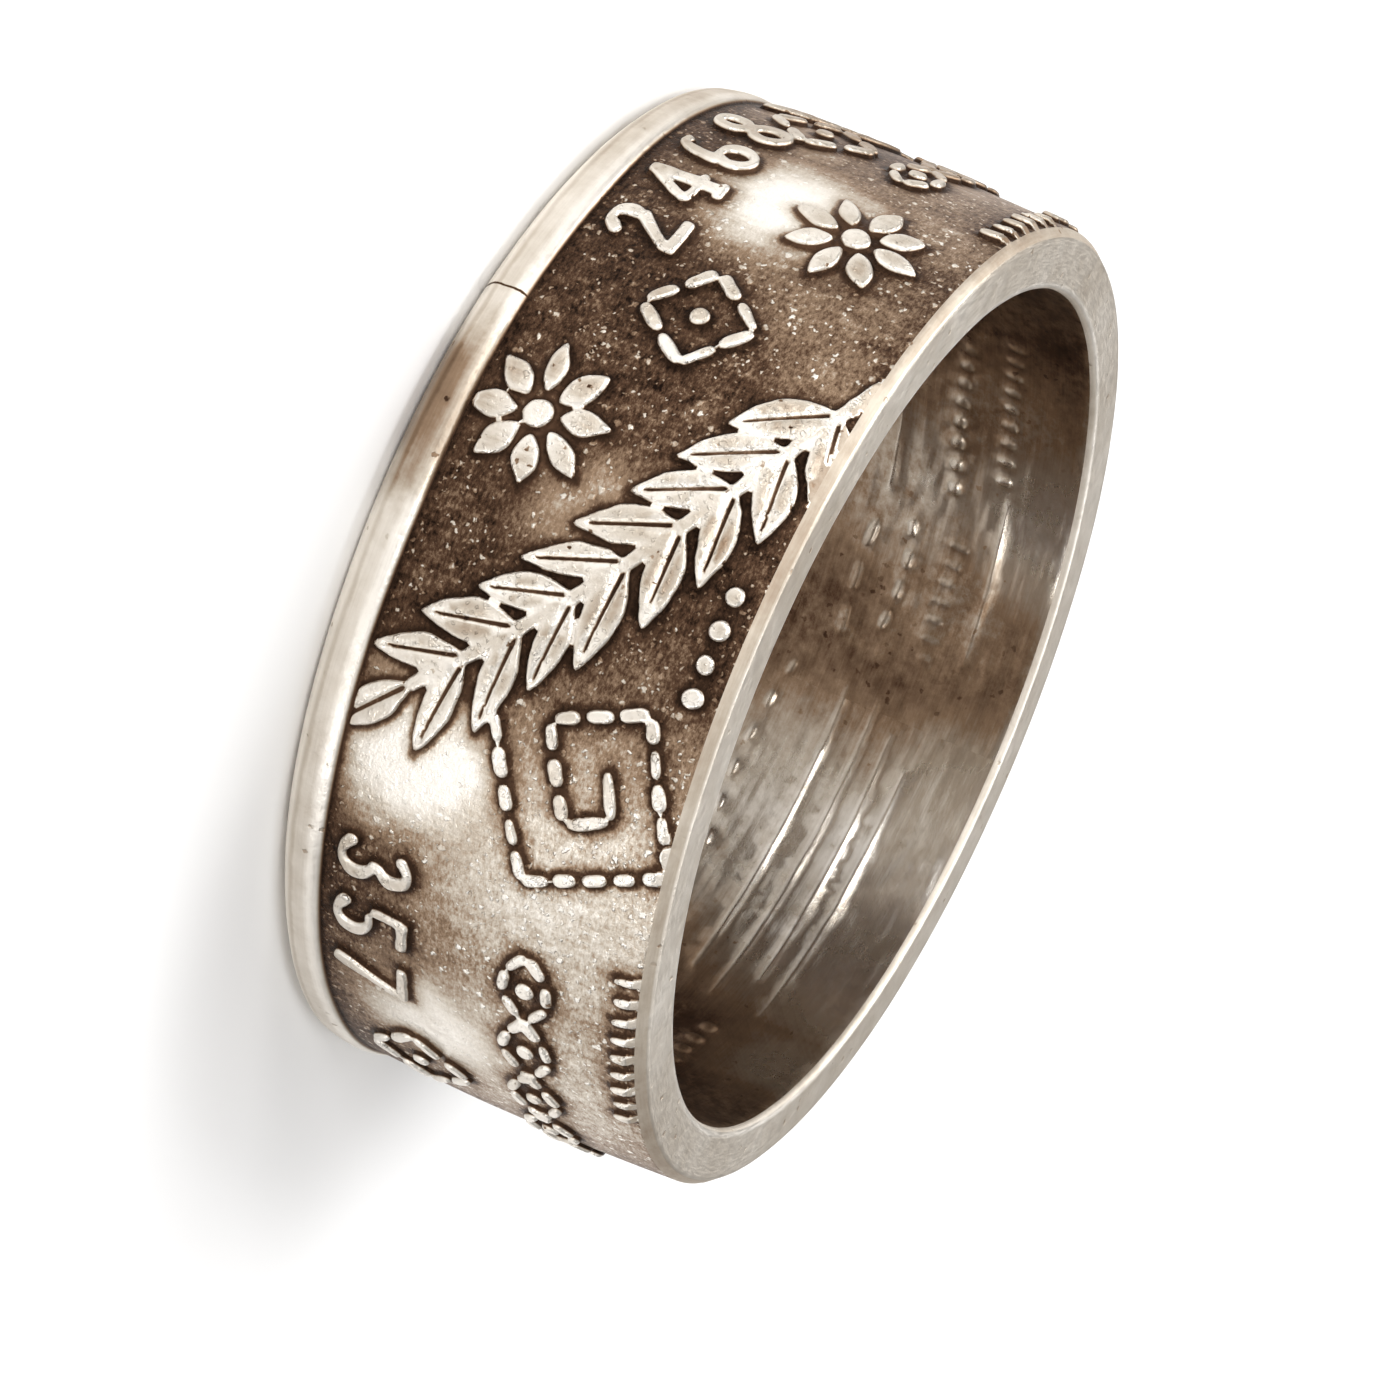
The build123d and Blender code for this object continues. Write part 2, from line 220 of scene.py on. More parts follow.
# Soft boxes: degrees round the ring from the front and above the floor, distance and size in
# metres, and watts.
LAMPS = [
    ("key", -104, 50, 0.40, (0.28, 0.28), 1.15),
    ("top", 150, 80, 0.50, (0.60, 0.60), 0.80),
    ("front", -10, 32, 0.40, (0.12, 0.08), 0.46),
    ("low_left", -41, 15, 0.45, (0.10, 0.14), 0.50),
    ("low_right", 48, 12, 0.45, (0.10, 0.12), 0.34),
    ("back", 186, 48, 0.45, (0.24, 0.12), 0.20),
]


def length_prop(name, value, description):
    """A size in millimetres, kept as Blender keeps lengths, in metres."""
    return FloatProperty(name=name, description=description, default=value * MM, unit="LENGTH", precision=5)


def angle_prop(name, degrees, description):
    """An angle, shown in degrees."""
    return FloatProperty(name=name, description=description, default=math.radians(degrees), unit="ROTATION")


def colour_prop(name, code, description):
    """A colour given as its sRGB hex code."""
    return FloatVectorProperty(
        name=name, description=description, default=linear(code), size=4, min=0, max=1, subtype="COLOR"
    )


def linear(code):
    """Linear colour with alpha from an sRGB hex code such as #c9b8a0."""
    parts = [int(code[i : i + 2], 16) / 255 for i in (1, 3, 5)]
    return tuple(p / 12.92 if p <= 0.04045 else ((p + 0.055) / 1.055) ** 2.4 for p in parts) + (1.0,)


class CoinRingBand(bpy.types.PropertyGroup):
    """Sizes of the plain band."""

    bore_radius: length_prop("Hole radius", BORE_RADIUS, "Radius of the finger hole")
    width: length_prop("Width", BAND_WIDTH, "From the rim's foot to the cut face")
    wall_at_rim: length_prop("Wall at rim", 1.50, "Wall at the foot of the raised border")
    wall_at_cut: length_prop("Wall at cut", 1.42, "Wall just under the bevel")
    crown_rise: length_prop("Crown", 0.09, "Dome of the struck field")
    rim_wall: length_prop("Rim foot", 0.62, "From the hole to where the rim starts to round")
    rim_round: length_prop("Rim rounding", 0.42, "Height of the rim's rounding")
    rim_side_wall: length_prop("Rim wall", 1.58, "Wall at the top of the rim's rounding")
    border_width: length_prop("Border width", 1.25, "Width of the coin's raised rim")
    border_step: length_prop("Border step", 0.15, "How far the rim stands above the field")
    bevel_width: length_prop("Bevel width", 0.20, "Bevel between field and cut face, across")
    bevel_height: length_prop("Bevel height", 0.24, "Bevel between field and cut face, along")
    bore_round: length_prop("Hole edge", 0.16, "Rounding of the hole's edges")


class CoinRingRelief(bpy.types.PropertyGroup):
    """Sizes of the raised work."""

    height: length_prop("Relief height", 0.17, "How far the raised work stands above the field")
    numeral_height: length_prop("Numeral height", 1.90, "Height of the numerals")
    numeral_width: length_prop("Numeral width", 1.16, "Width of the numerals")
    numeral_thick: length_prop("Thick stroke", 0.37, "Upright strokes of the numerals")
    numeral_thin: length_prop("Thin stroke", 0.24, "Level strokes of the numerals")
    numeral_pitch: length_prop("Numeral pitch", 1.72, "From one numeral to the next")
    numeral_gap: length_prop("Numeral gap", 0.36, "From the border to the numerals")
    leaf_length: length_prop("Leaf length", 2.45, "Length of a leaf")
    leaf_width: length_prop("Leaf width", 0.88, "Width of a leaf")
    leaf_pitch: length_prop("Leaf pitch", 1.45, "From one pair of leaves to the next")
    leaf_spread: angle_prop("Leaf spread", 34, "Angle between a leaf and its stem")
    stem_width: length_prop("Stem width", 0.34, "Width of a stem")
    block_length: length_prop("Block length", 0.66, "Length of a block in the key and wave lines")
    block_width: length_prop("Block width", 0.31, "Width of those blocks")
    block_gap: length_prop("Block gap", 0.13, "Gap between blocks")
    key_unit: length_prop("Key step", 1.02, "Step of the square spiral")
    lozenge_reach: length_prop("Lozenge reach", 1.30, "From a lozenge's middle to its corners")
    wave_length: length_prop("Wave length", 4.6, "Length of a whole wave")
    wave_swing: length_prop("Wave swing", 0.62, "How far the waves swing to either side")
    bead_radius: length_prop("Bead radius", 0.24, "Beads between the waves")
    bead_pitch: length_prop("Bead pitch", 0.80, "From one bead of a row to the next")
    rosette_radius: length_prop("Rosette radius", 1.72, "From the middle to a petal's tip")
    petal_width: length_prop("Petal width", 0.60, "Width of a petal")
    petal_count: IntProperty(name="Petals", description="Petals of a rosette", default=8, min=3)
    boss_radius: length_prop("Boss radius", 0.36, "Middle of a rosette")
    tick_length: length_prop("Tick length", 0.95, "Short strokes along the edges")
    tick_width: length_prop("Tick width", 0.24, "Width of those strokes")
    tick_pitch: length_prop("Tick pitch", 0.58, "From one stroke to the next")
    wobble: FloatProperty(
        name="Wobble", description="How unevenly the repeated work was cut", default=0.14, min=0,
        subtype="FACTOR",
    )
    seed: IntProperty(name="Seed", description="Start of every random draw", default=7)


class CoinRingFinish(bpy.types.PropertyGroup):
    """Colours of the oxidised coin silver."""

    bright: colour_prop("Bright silver", "#f4eee5", "Rubbed tops of the raised work and edges")
    worn: colour_prop("Worn silver", "#c6bbac", "Half cleaned field")
    tan: colour_prop("Thin oxide", "#957d66", "Oxide that is nearly rubbed off")
    brown: colour_prop("Brown oxide", "#553f30", "Oxide on the open field")
    deep: colour_prop("Deep oxide", "#1b120d", "Oxide in the recesses")
    floor: colour_prop("Floor", "#f6f6f6", "Plain pale floor")


class CoinRingStudio(bpy.types.PropertyGroup):
    """Where the camera stands and how strong the lamps are."""

    distance: length_prop("Distance", 142.9, "From the camera to the ring's middle")
    elevation: angle_prop("Elevation", 17.8, "Camera's height above the floor")
    roll: angle_prop("Roll", 112.9, "Camera's roll")
    lens_px: FloatProperty(name="Lens", description="Focal length in pixels of the frame", default=6207.0)
    middle_x: FloatProperty(name="Middle x", description="The ring's middle across it", default=713.7)
    middle_y: FloatProperty(name="Middle y", description="The ring's middle down it", default=638.8)


def settings():
    """Sizes of the band and of the raised work as plain values, with lengths in millimetres."""
    found = []
    for group in (bpy.context.scene.coin_ring_band, bpy.context.scene.coin_ring_relief):
        values = {prop.identifier: getattr(group, prop.identifier) for prop in own_props(group)}
        lengths = [prop.identifier for prop in own_props(group) if prop.unit == "LENGTH"]
        values |= {name: values[name] / MM for name in lengths}
        found.append(SimpleNamespace(**values))
    return found


def own_props(group):
    """The settings of a group."""
    return [prop for prop in group.bl_rna.properties if prop.identifier not in ("rna_type", "name")]


# Sizes that several makers share

def wall_radii(band):
    """Radii of the struck field at the border, at its crown and at the bevel."""
    foot, top = band.bore_radius + band.wall_at_rim, band.bore_radius + band.wall_at_cut
    return foot, (foot + top) / 2 + band.crown_rise, top


def field_heights(band):
    """Lowest and highest height of the struck field."""
    return band.border_width, band.width - band.bevel_height


def arc_length(angle):
    """Distance round the unrolled outside for an angle in degrees."""
    return math.radians(angle) * wall_radii(settings()[0])[1]


def height_at(share):
    """Height above the foot for a share of the struck field."""
    low, high = field_heights(settings()[0])
    return low + share * (high - low)


def unrolled_place(spot):
    """Where a spot stands on the unrolled outside."""
    return arc_length(spot.angle), height_at(spot.height)


# Flat outlines on the unrolled outside

def placed(points, along, height, turn=0.0):
    """An outline turned by some degrees and moved to its place."""
    c, s = math.cos(math.radians(turn)), math.sin(math.radians(turn))
    p = np.asarray(points, float)
    return np.column_stack((along + p[:, 0] * c - p[:, 1] * s, height + p[:, 0] * s + p[:, 1] * c))


def block_shape(corner=0.22):
    """Block of unit length and width with worn corners."""
    edge, cut = 0.5, 0.5 - corner
    half = [(-cut, -edge), (cut, -edge), (edge, -cut), (edge, cut)]
    return np.array(half + [(-x, -y) for x, y in half])


def bar(length, width, x=0.0, y=0.0):
    """Sharp oblong about a point."""
    return np.array([(-length, -width), (length, -width), (length, width), (-length, width)]) / 2 + (x, y)


def disc(radius, x=0.0, y=0.0, count=14):
    """Round outline."""
    t = np.linspace(0, 2 * math.pi, count, endpoint=False)
    return np.column_stack((x + radius * np.cos(t), y + radius * np.sin(t)))


def leaf_shape(count=12):
    """Pointed leaf or petal of unit length and width that starts at the origin and lies along +X."""
    t = np.linspace(0, 1, count)
    edge = np.sin(math.pi * t**0.9) / 2
    return np.vstack((np.column_stack((t, -edge)), np.column_stack((t, edge))[-2:0:-1]))


def bowl(middle, wide, tall, start, end, relief, count=18):
    """Part of a numeral's oval ring, thick at its sides and thin above and below."""
    t = np.radians(np.linspace(start, end, count))
    thick, thin = relief.numeral_thick, relief.numeral_thin
    outer = np.column_stack((wide * np.cos(t), middle + tall * np.sin(t)))
    inner = np.column_stack(((wide - thick) * np.cos(t), middle + (tall - thin) * np.sin(t)))
    return np.vstack((outer, inner[::-1]))


def stroke(start, end, start_width, end_width):
    """Straight tapered stroke of a numeral."""
    first, last = np.array(start, float), np.array(end, float)
    run = (last - first) / np.linalg.norm(last - first)
    a, b = (np.array((-run[1], run[0])) * width / 2 for width in (start_width, end_width))
    return np.array((first + a, last + b, last - b, first - a))


def numeral(figure, relief):
    """Overlapping outlines of one figure, upright about its own centre."""
    half, wide = relief.numeral_height / 2, relief.numeral_width / 2
    thick, thin = relief.numeral_thick, relief.numeral_thin
    slab = thick * 0.8
    upper = (half * 0.50, wide * 0.86, half * 0.50)
    lower = (half * -0.45, wide, half * 0.55)

    def ring(middle, across, up):
        return [bowl(middle, across, up, -10, 190, relief), bowl(middle, across, up, 170, 370, relief)]

    def ball(x, y):
        return disc(thick * 0.45, x, y)

    if figure == "0":
        return ring(0, wide, half)
    if figure == "1":
        flag = stroke((0, half - thin / 2), (-wide * 0.70, half * 0.62), thin, thin * 1.4)
        return [bar(thick, half * 2), bar(wide * 1.3, thin, 0, thin / 2 - half), flag]
    if figure == "2":
        slope = stroke((wide * 0.62, half * 0.30), (-wide * 0.80, thin - half), thick, thin)
        foot = bar(wide * 1.9, slab, 0, slab / 2 - half)
        return [bowl(*upper, -35, 165, relief), slope, foot, ball(-wide * 0.60, half * 0.60)]
    if figure == "3":
        ends = [ball(-wide * 0.56, half * 0.68), ball(-wide * 0.68, -half * 0.66)]
        return [bowl(*upper, -100, 150, relief), bowl(*lower, -150, 100, relief)] + ends
    if figure == "4":
        stem = bar(thick, half * 2, wide * 0.35, 0)
        foot = bar(wide * 1.1, thin, wide * 0.35, thin / 2 - half)
        slope = stroke((wide * 0.35, half * 0.94), (-wide * 0.94, -half * 0.32), thin, thin)
        return [stem, bar(wide * 2, thin, 0, -half * 0.32), foot, slope]
    if figure == "5":
        flag = bar(wide * 1.5, slab, wide * 0.12, half - slab / 2)
        neck = stroke((-wide * 0.55, half - thin / 2), (-wide * 0.60, 0), thin, thin)
        return [bowl(*lower, -150, 125, relief), flag, neck, ball(-wide * 0.68, -half * 0.66)]
    if figure == "6":
        return ring(*lower) + [bowl(-half * 0.10, wide, half * 1.10, 62, 185, relief)]
    if figure == "7":
        level = bar(wide * 2, slab, 0, half - slab / 2)
        return [level, stroke((wide * 0.78, half - thin), (-wide * 0.30, -half), thin, thick)]
    return ring(*upper) + ring(*lower)


def number_outlines(number, relief):
    """A row of figures beside the border, read from either edge."""
    reading = math.cos(math.radians(number.turn))
    pitch = reading * relief.numeral_pitch
    height = height_at(0) + relief.numeral_gap + relief.numeral_height / 2
    first = arc_length(number.angle) - pitch * (len(number.figures) - 1) / 2
    return [
        placed(outline, first + pitch * i, height, number.turn)
        for i, figure in enumerate(number.figures)
        for outline in numeral(figure, relief)
    ]


# Routes that the repeated work follows

def spray_route(spray):
    """Bent stem of a leaf spray, as points on the unrolled outside."""
    ends = [(spray.start, spray.start_height), (spray.bend, spray.bend_height), (spray.end, spray.end_height)]
    a, b, c = (np.array((arc_length(angle), height_at(share))) for angle, share in ends)
    t = np.linspace(0, 1, 60)[:, None]
    return (1 - t) ** 2 * a + 2 * t * (1 - t) * b + t**2 * c


def block_routes(spot, unit, turns):
    """Straight runs from corner to corner of a path, given in units about its own middle."""
    corners = placed(np.array(turns) * unit, *unrolled_place(spot), spot.turn)
    return [np.array(pair) for pair in zip(corners, corners[1:])]


def wave_routes(run, relief):
    """Two wavy lines that cross in whole eyes."""
    start, end = arc_length(run.start), arc_length(run.end)
    eyes = max(1, round(2 * (end - start) / relief.wave_length))
    along = np.linspace(0, end - start, 24 * eyes)
    swing = relief.wave_swing * np.sin(math.pi * eyes * along / (end - start))
    return [np.column_stack((start + along, height_at(run.height) + side * swing)) for side in (1, -1)]


def level_route(run):
    """Straight line round the ring at one height, as the only route of its kind."""
    return [np.array([(arc_length(angle), height_at(run.height)) for angle in (run.start, run.end)])]


def boss_route(spot, relief):
    """Small circle that carries a rosette's petals, as a closed run of straight sides."""
    count = relief.petal_count
    radius = relief.boss_radius * PETAL_SEAT / math.cos(math.pi / count)
    t = np.radians(spot.turn) + np.linspace(0, 2 * math.pi, count + 1)
    x, y = unrolled_place(spot)
    return [np.column_stack((x + radius * np.cos(t), y + radius * np.sin(t)))]


# Geometry Nodes

def add(tree, kind, links=None, **options):
    """Adds a node with its settings, and its inputs as plain values or links, and gives its value."""
    node = tree.nodes.new(kind)
    for key, value in options.items():
        setattr(node, key, value)
    for key, value in (links or {}).items():
        if isinstance(value, Value):
            tree.links.new(value.socket, node.inputs[key])
        else:
            node.inputs[key].default_value = value
    return Value(next(socket for socket in node.outputs if socket.enabled))


class Value:
    """What a node gives. Values are reckoned with as numbers are, which adds Math nodes to their tree."""

    def __init__(self, socket):
        self.socket, self.tree = socket, socket.id_data

    def __getitem__(self, name):
        """Another output of the same node."""
        return Value(self.socket.node.outputs[name])

    def by(self, operation, other=0.0):
        """This value, or each part of this vector, reckoned with another."""
        if self.socket.type not in ("VECTOR", "RGBA"):
            return add(self.tree, "ShaderNodeMath", {0: self, 1: other}, operation=operation)
        if not isinstance(other, Value):
            other = [float(part) for part in np.broadcast_to(other, 3)]
        return add(self.tree, "ShaderNodeVectorMath", {0: self, 1: other}, operation=operation)

    def __add__(self, other):
        return self.by("ADD", other)

    def __sub__(self, other):
        return self.by("SUBTRACT", other)

    def __mul__(self, other):
        return self.by("MULTIPLY", other)

    def __rsub__(self, number):
        return add(self.tree, "ShaderNodeMath", {0: number, 1: self}, operation="SUBTRACT")

    __radd__, __rmul__ = __add__, __mul__

    def eased(self, low, high, to_low=0.0, to_high=1.0):
        """This value carried smoothly from one range to another, and held at its ends."""
        ends = {"Value": self, "From Min": low, "From Max": high, "To Min": to_low, "To Max": to_high}
        return add(self.tree, "ShaderNodeMapRange", ends, interpolation_type="SMOOTHSTEP")


def motif_tree():
    """Tree that sets a flat motif along each step of a route: a block, leaf, petal, bead or tick."""
    tree = bpy.data.node_groups.new("motifs_along_route", "GeometryNodeTree")
    tree.interface.new_socket("Geometry", in_out="OUTPUT", socket_type="NodeSocketGeometry")
    for name, kind in MOTIF_INPUTS.items():
        tree.interface.new_socket(name, in_out="INPUT", socket_type="NodeSocket" + kind)
    given = add(tree, "NodeGroupInput")
    curve = add(tree, "GeometryNodeMeshToCurve", {"Mesh": given["Route"]})
    steps = add(tree, "GeometryNodeSplineLength").by("DIVIDE", given["Step"]).by("ROUND").by("MAXIMUM", 1.0)
    even = add(tree, "GeometryNodeResampleCurve", {"Curve": curve, "Count": steps + 1.0}, mode="COUNT")
    edges = add(tree, "GeometryNodeCurveToMesh", {"Curve": even})
    ends = add(tree, "GeometryNodeInputMeshEdgeVertices")
    kept = add(tree, "GeometryNodeCaptureAttribute", {"Geometry": edges}, domain="EDGE").socket.node
    for name, end in (("Start", "Position 1"), ("End", "Position 2")):
        kept.capture_items.new("VECTOR", name)
        tree.links.new(ends[end].socket, kept.inputs[name])
    real, start, end = (Value(kept.outputs[name]) for name in ("Geometry", "Start", "End"))
    points = add(tree, "GeometryNodeMeshToPoints", {"Mesh": real}, mode="EDGES")
    at = add(tree, "ShaderNodeMix", {0: given["Anchor"], 4: start, 5: end}, data_type="VECTOR")
    seats = add(tree, "GeometryNodeSetPosition", {"Geometry": points, "Position": at})
    run = end - start
    parts = add(tree, "ShaderNodeSeparateXYZ", {0: run})

    def drawn(shift):
        """A random value between plus and minus the wobble, for one use of it."""
        seed = add(tree, "FunctionNodeIntegerMath", {0: given["Seed"], 1: shift}, operation="ADD")
        return add(tree, "FunctionNodeRandomValue", {2: -1.0, 3: 1.0, 8: seed}) * given["Wobble"]

    filled = (run.by("LENGTH") - given["Gap"]) * given["Fill"]
    long = (filled + given["Motif Length"] * (1.0 - given["Fill"])) * (1.0 + drawn(1) * LENGTH_WOBBLE)
    wide = given["Motif Width"] * (1.0 + drawn(2))
    lean = parts["Y"].by("ARCTAN2", parts["X"]) + given["Turn"] + drawn(3) * LEAN_WOBBLE
    turn = add(tree, "ShaderNodeCombineXYZ", {"Z": lean})
    first = add(tree, "GeometryNodeInputIndex").by("LESS_THAN", 0.5) * given["Skip First"]
    copies = add(tree, "GeometryNodeInstanceOnPoints", {
        "Points": seats,
        "Selection": 1.0 - first,
        "Instance": add(tree, "GeometryNodeObjectInfo", {"Object": given["Motif"]})["Geometry"],
        "Rotation": add(tree, "FunctionNodeEulerToRotation", {0: turn}),
        "Scale": add(tree, "ShaderNodeCombineXYZ", {"X": long, "Y": wide, "Z": 1.0}),
    })
    real = add(tree, "GeometryNodeRealizeInstances", {"Geometry": copies})
    dressed = add(tree, "GeometryNodeSetMaterial", {"Geometry": real, "Material": given["Material"]})
    tree.links.new(dressed.socket, tree.nodes.new("NodeGroupOutput").inputs[0])
    return tree


def flat_object(name, faces=(), lines=()):
    """A flat object of outlines as faces, or of open lines as edges."""
    verts, polys, edges = [], [], []
    for outline in faces:
        polys.append(list(range(len(verts), len(verts) + len(outline))))
        verts += [(x, y, 0.0) for x, y in outline]
    for line in lines:
        first = len(verts)
        verts += [(x, y, 0.0) for x, y in line]
        edges += [(first + i, first + i + 1) for i in range(len(line) - 1)]
    mesh = bpy.data.meshes.new(name)
    mesh.from_pydata(verts, edges, polys)
    made = bpy.data.objects.new(name, mesh)
    bpy.context.scene.collection.objects.link(made)
    return made


def laid_out(tree, motif, routes, **sizes):
    """Outlines of a motif set along routes by the tree."""
    shape, plan = flat_object("motif", faces=[motif]), flat_object("plan", lines=routes)
    modifier = plan.modifiers.new("Motifs", "NODES")
    modifier.node_group = tree
    named = {item.name: item.identifier for item in tree.interface.items_tree if item.in_out == "INPUT"}
    for name, value in {"motif": shape, **sizes}.items():
        modifier[named[name.replace("_", " ").title()]] = value
    flat = bpy.data.meshes.new_from_object(plan.evaluated_get(bpy.context.evaluated_depsgraph_get()))
    places = np.array([vertex.co[:2] for vertex in flat.vertices], float)
    outlines = [places[list(face.vertices)] for face in flat.polygons]
    plan.modifiers.remove(modifier)
    for mesh in (plan.data, shape.data, flat):
        bpy.data.meshes.remove(mesh)
    return outlines


def spray_outlines(lay, relief):
    """Bent stems with pairs of leaves, and the leaves' veins."""
    found, veins = [], []
    leaf = {"motif_length": relief.leaf_length, "motif_width": relief.leaf_width, "step": relief.leaf_pitch}
    stem = {"step": relief.leaf_pitch, "anchor": 0.5, "fill": 1.0, "wobble": 0.0}
    stem |= {"gap": -STEM_LAP * relief.stem_width, "motif_width": relief.stem_width}
    for i, spray in enumerate(SPRAYS):
        route = spray_route(spray)
        found += lay(bar(1.0, 1.0), [route], **stem)
        tip = np.array((route[-1], route[-1] + (route[-1] - route[-2]) * 0.5))
        places = [(route, 1.0, True), (route, -1.0, True), (tip, 0.0, False)]
        for seed, (line, side, skip) in enumerate(places, relief.seed + DRAWS["sprays"] + len(places) * i):
            sizes = {**leaf, "turn": side * relief.leaf_spread, "skip_first": skip, "seed": seed}
            found += lay(leaf_shape(), [line], **sizes)
            veins += lay(VEIN, [line], **sizes)
    return found, veins


def laid_works(lay, relief):
    """Outlines of the blocks, waves, rows of beads, rosettes and ticks."""
    across = 2 * relief.bead_radius
    seat = relief.boss_radius * PETAL_SEAT
    block = {"step": relief.block_length + relief.block_gap, "anchor": 0.5, "fill": 1.0}
    block |= {"gap": relief.block_gap, "motif_width": relief.block_width}
    bead = {"step": relief.bead_pitch, "anchor": 0.5, "motif_length": across, "motif_width": across}
    petal = {"step": 2 * seat * math.tan(math.pi / relief.petal_count), "anchor": 0.5, "turn": -math.pi / 2}
    petal |= {"motif_length": relief.rosette_radius - seat, "motif_width": relief.petal_width}
    tick = {"step": relief.tick_pitch, "motif_length": relief.tick_length, "motif_width": relief.tick_width}
    tick["turn"] = math.radians(TICK_LEAN)
    paths = [(key, relief.key_unit, KEY_TURNS) for key in KEYS]
    paths += [(spot, relief.lozenge_reach, LOZENGE_TURNS) for spot in LOZENGES]
    works = [
        ("blocks", block_shape(), [block_routes(*path) for path in paths], block),
        ("waves", block_shape(), [wave_routes(run, relief) for run in WAVES], block),
        ("waves", disc(0.5), [level_route(run) for run in WAVES], {**bead, "step": relief.wave_length / 2}),
        ("beads", disc(0.5), [level_route(run) for run in BEADS], bead),
        ("rosettes", leaf_shape(), [boss_route(spot, relief) for spot in ROSETTES], petal),
        ("ticks", block_shape(), [level_route(run) for run in TICKS], tick),
    ]
    found = [disc(relief.bead_radius, *unrolled_place(spot)) for spot in LOZENGES]
    found += [disc(relief.boss_radius, *unrolled_place(spot)) for spot in ROSETTES]
    for kind, motif, places, sizes in works:
        for seed, routes in enumerate(places, relief.seed + DRAWS[kind]):
            found += lay(motif, routes, seed=seed, **sizes)
    return found


def round_once(outlines):
    """Outlines brought back by a whole turn where they stand past the sheet's end."""
    whole = arc_length(360)
    return [o - (whole, 0) if o[:, 0].mean() > whole / 2 else o for o in outlines]


def outside_outlines(lay, relief):
    """Outlines of the raised work, and veins cut into it, on the unrolled outside."""
    raised, veins = spray_outlines(lay, relief)
    for number in NUMBERS:
        raised += number_outlines(number, relief)
    return round_once(raised + laid_works(lay, relief)), round_once(veins)


def inside_outlines(lay, relief, turn):
    """Flattened traces of the coin's other side on the unrolled wall of the hole."""
    found = []
    for seed, trace in enumerate(TRACES, relief.seed + DRAWS["traces"]):
        angle = np.linspace(trace.start, trace.end, 24)
        share = (angle - trace.start) / (trace.end - trace.start)
        height = trace.height + trace.sag * (2 * share - 1) ** 2
        line = np.column_stack(((angle - 180) * math.radians(1) * turn, height))
        sizes = {"step": trace.step, "anchor": 0.5, "fill": 1.0, "gap": trace.gap, "motif_width": trace.width}
        found += lay(block_shape(), [line], seed=seed, **sizes)
    return found


# Heights of the relief, on a fine grid of an unrolled sheet

def polygon_distance(x, y, outline):
    """Signed distance from points to a closed outline, negative inside."""
    nearest = np.full(x.shape, np.inf)
    inside = np.zeros(x.shape, bool)
    for (ax, ay), (bx, by) in zip(outline, np.roll(outline, -1, axis=0)):
        ex, ey = bx - ax, by - ay
        t = np.clip(((x - ax) * ex + (y - ay) * ey) / (ex * ex + ey * ey + 1e-12), 0, 1)
        nearest = np.minimum(nearest, np.hypot(x - ax - t * ex, y - ay - t * ey))
        if ay != by:
            inside ^= ((ay > y) != (by > y)) & (x < ax + (y - ay) * ex / ey)
    return np.where(inside, -nearest, nearest)


def distance_grid(outlines, area):
    """Distance to the union of some outlines, negative inside, on a grid over a sheet."""
    x = np.arange(area.left, area.right + GRID_STEP, GRID_STEP)
    y = np.arange(area.low, area.high + GRID_STEP, GRID_STEP)
    values = np.full((len(y), len(x)), REACH)
    for outline in outlines:
        low, high = outline.min(axis=0) - REACH, outline.max(axis=0) + REACH
        i, k = np.searchsorted(x, (low[0], high[0]))
        j, m = np.searchsorted(y, (low[1], high[1]))
        if i < k and j < m:
            px, py = np.meshgrid(x[i:k], y[j:m])
            values[j:m, i:k] = np.minimum(values[j:m, i:k], polygon_distance(px, py, outline))
    return Grid(area.left, area.low, GRID_STEP, worn(values))


def ragged(grid):
    """A grid of distances made slightly uneven, which leaves the outlines as if struck and worn."""
    x = grid.left + np.arange(grid.values.shape[1]) * grid.step
    y = grid.low + np.arange(grid.values.shape[0]) * grid.step
    return grid._replace(values=grid.values + read(uneven_grid(RAGGED, 0.1), *np.meshgrid(x, y)))


def worn(values):
    """Grid values after a light blur, which rounds sharp corners off."""
    for axis in (0, 1):
        near = np.concatenate((values.take([0], axis), values, values.take([-1], axis)), axis)
        size = values.shape[axis]
        values = (near.take(range(size), axis) + 2 * values + near.take(range(2, size + 2), axis)) / 4
    return values


def read(grid, x, y):
    """Grid values at points, straight between the nearest four."""
    v = grid.values
    x = np.clip((x - grid.left) / grid.step, 0, v.shape[1] - 1.001)
    y = np.clip((y - grid.low) / grid.step, 0, v.shape[0] - 1.001)
    i, j = x.astype(int), y.astype(int)
    fx, fy = x - i, y - j
    below, above = (v[row, i] * (1 - fx) + v[row, i + 1] * fx for row in (j, j + 1))
    return below * (1 - fy) + above * fy


def level_links(values):
    """For each grid edge that a level crosses, the crossed edges next to it."""
    above = values > 0
    flat = above[:, :-1] != above[:, 1:]
    steep = above[:-1] != above[1:]
    links = {}
    for j, i in np.argwhere(flat[:-1] | flat[1:] | steep[:, :-1] | steep[:, 1:]).tolist():
        sides = [(1, j, i), (0, j, i), (1, j, i + 1), (0, j + 1, i)]
        met = [side for side in sides if (steep if side[0] else flat)[side[1], side[2]]]
        for a, b in (met[:2], met[2:4])[: len(met) // 2]:
            links.setdefault(a, []).append(b)
            links.setdefault(b, []).append(a)
    return links


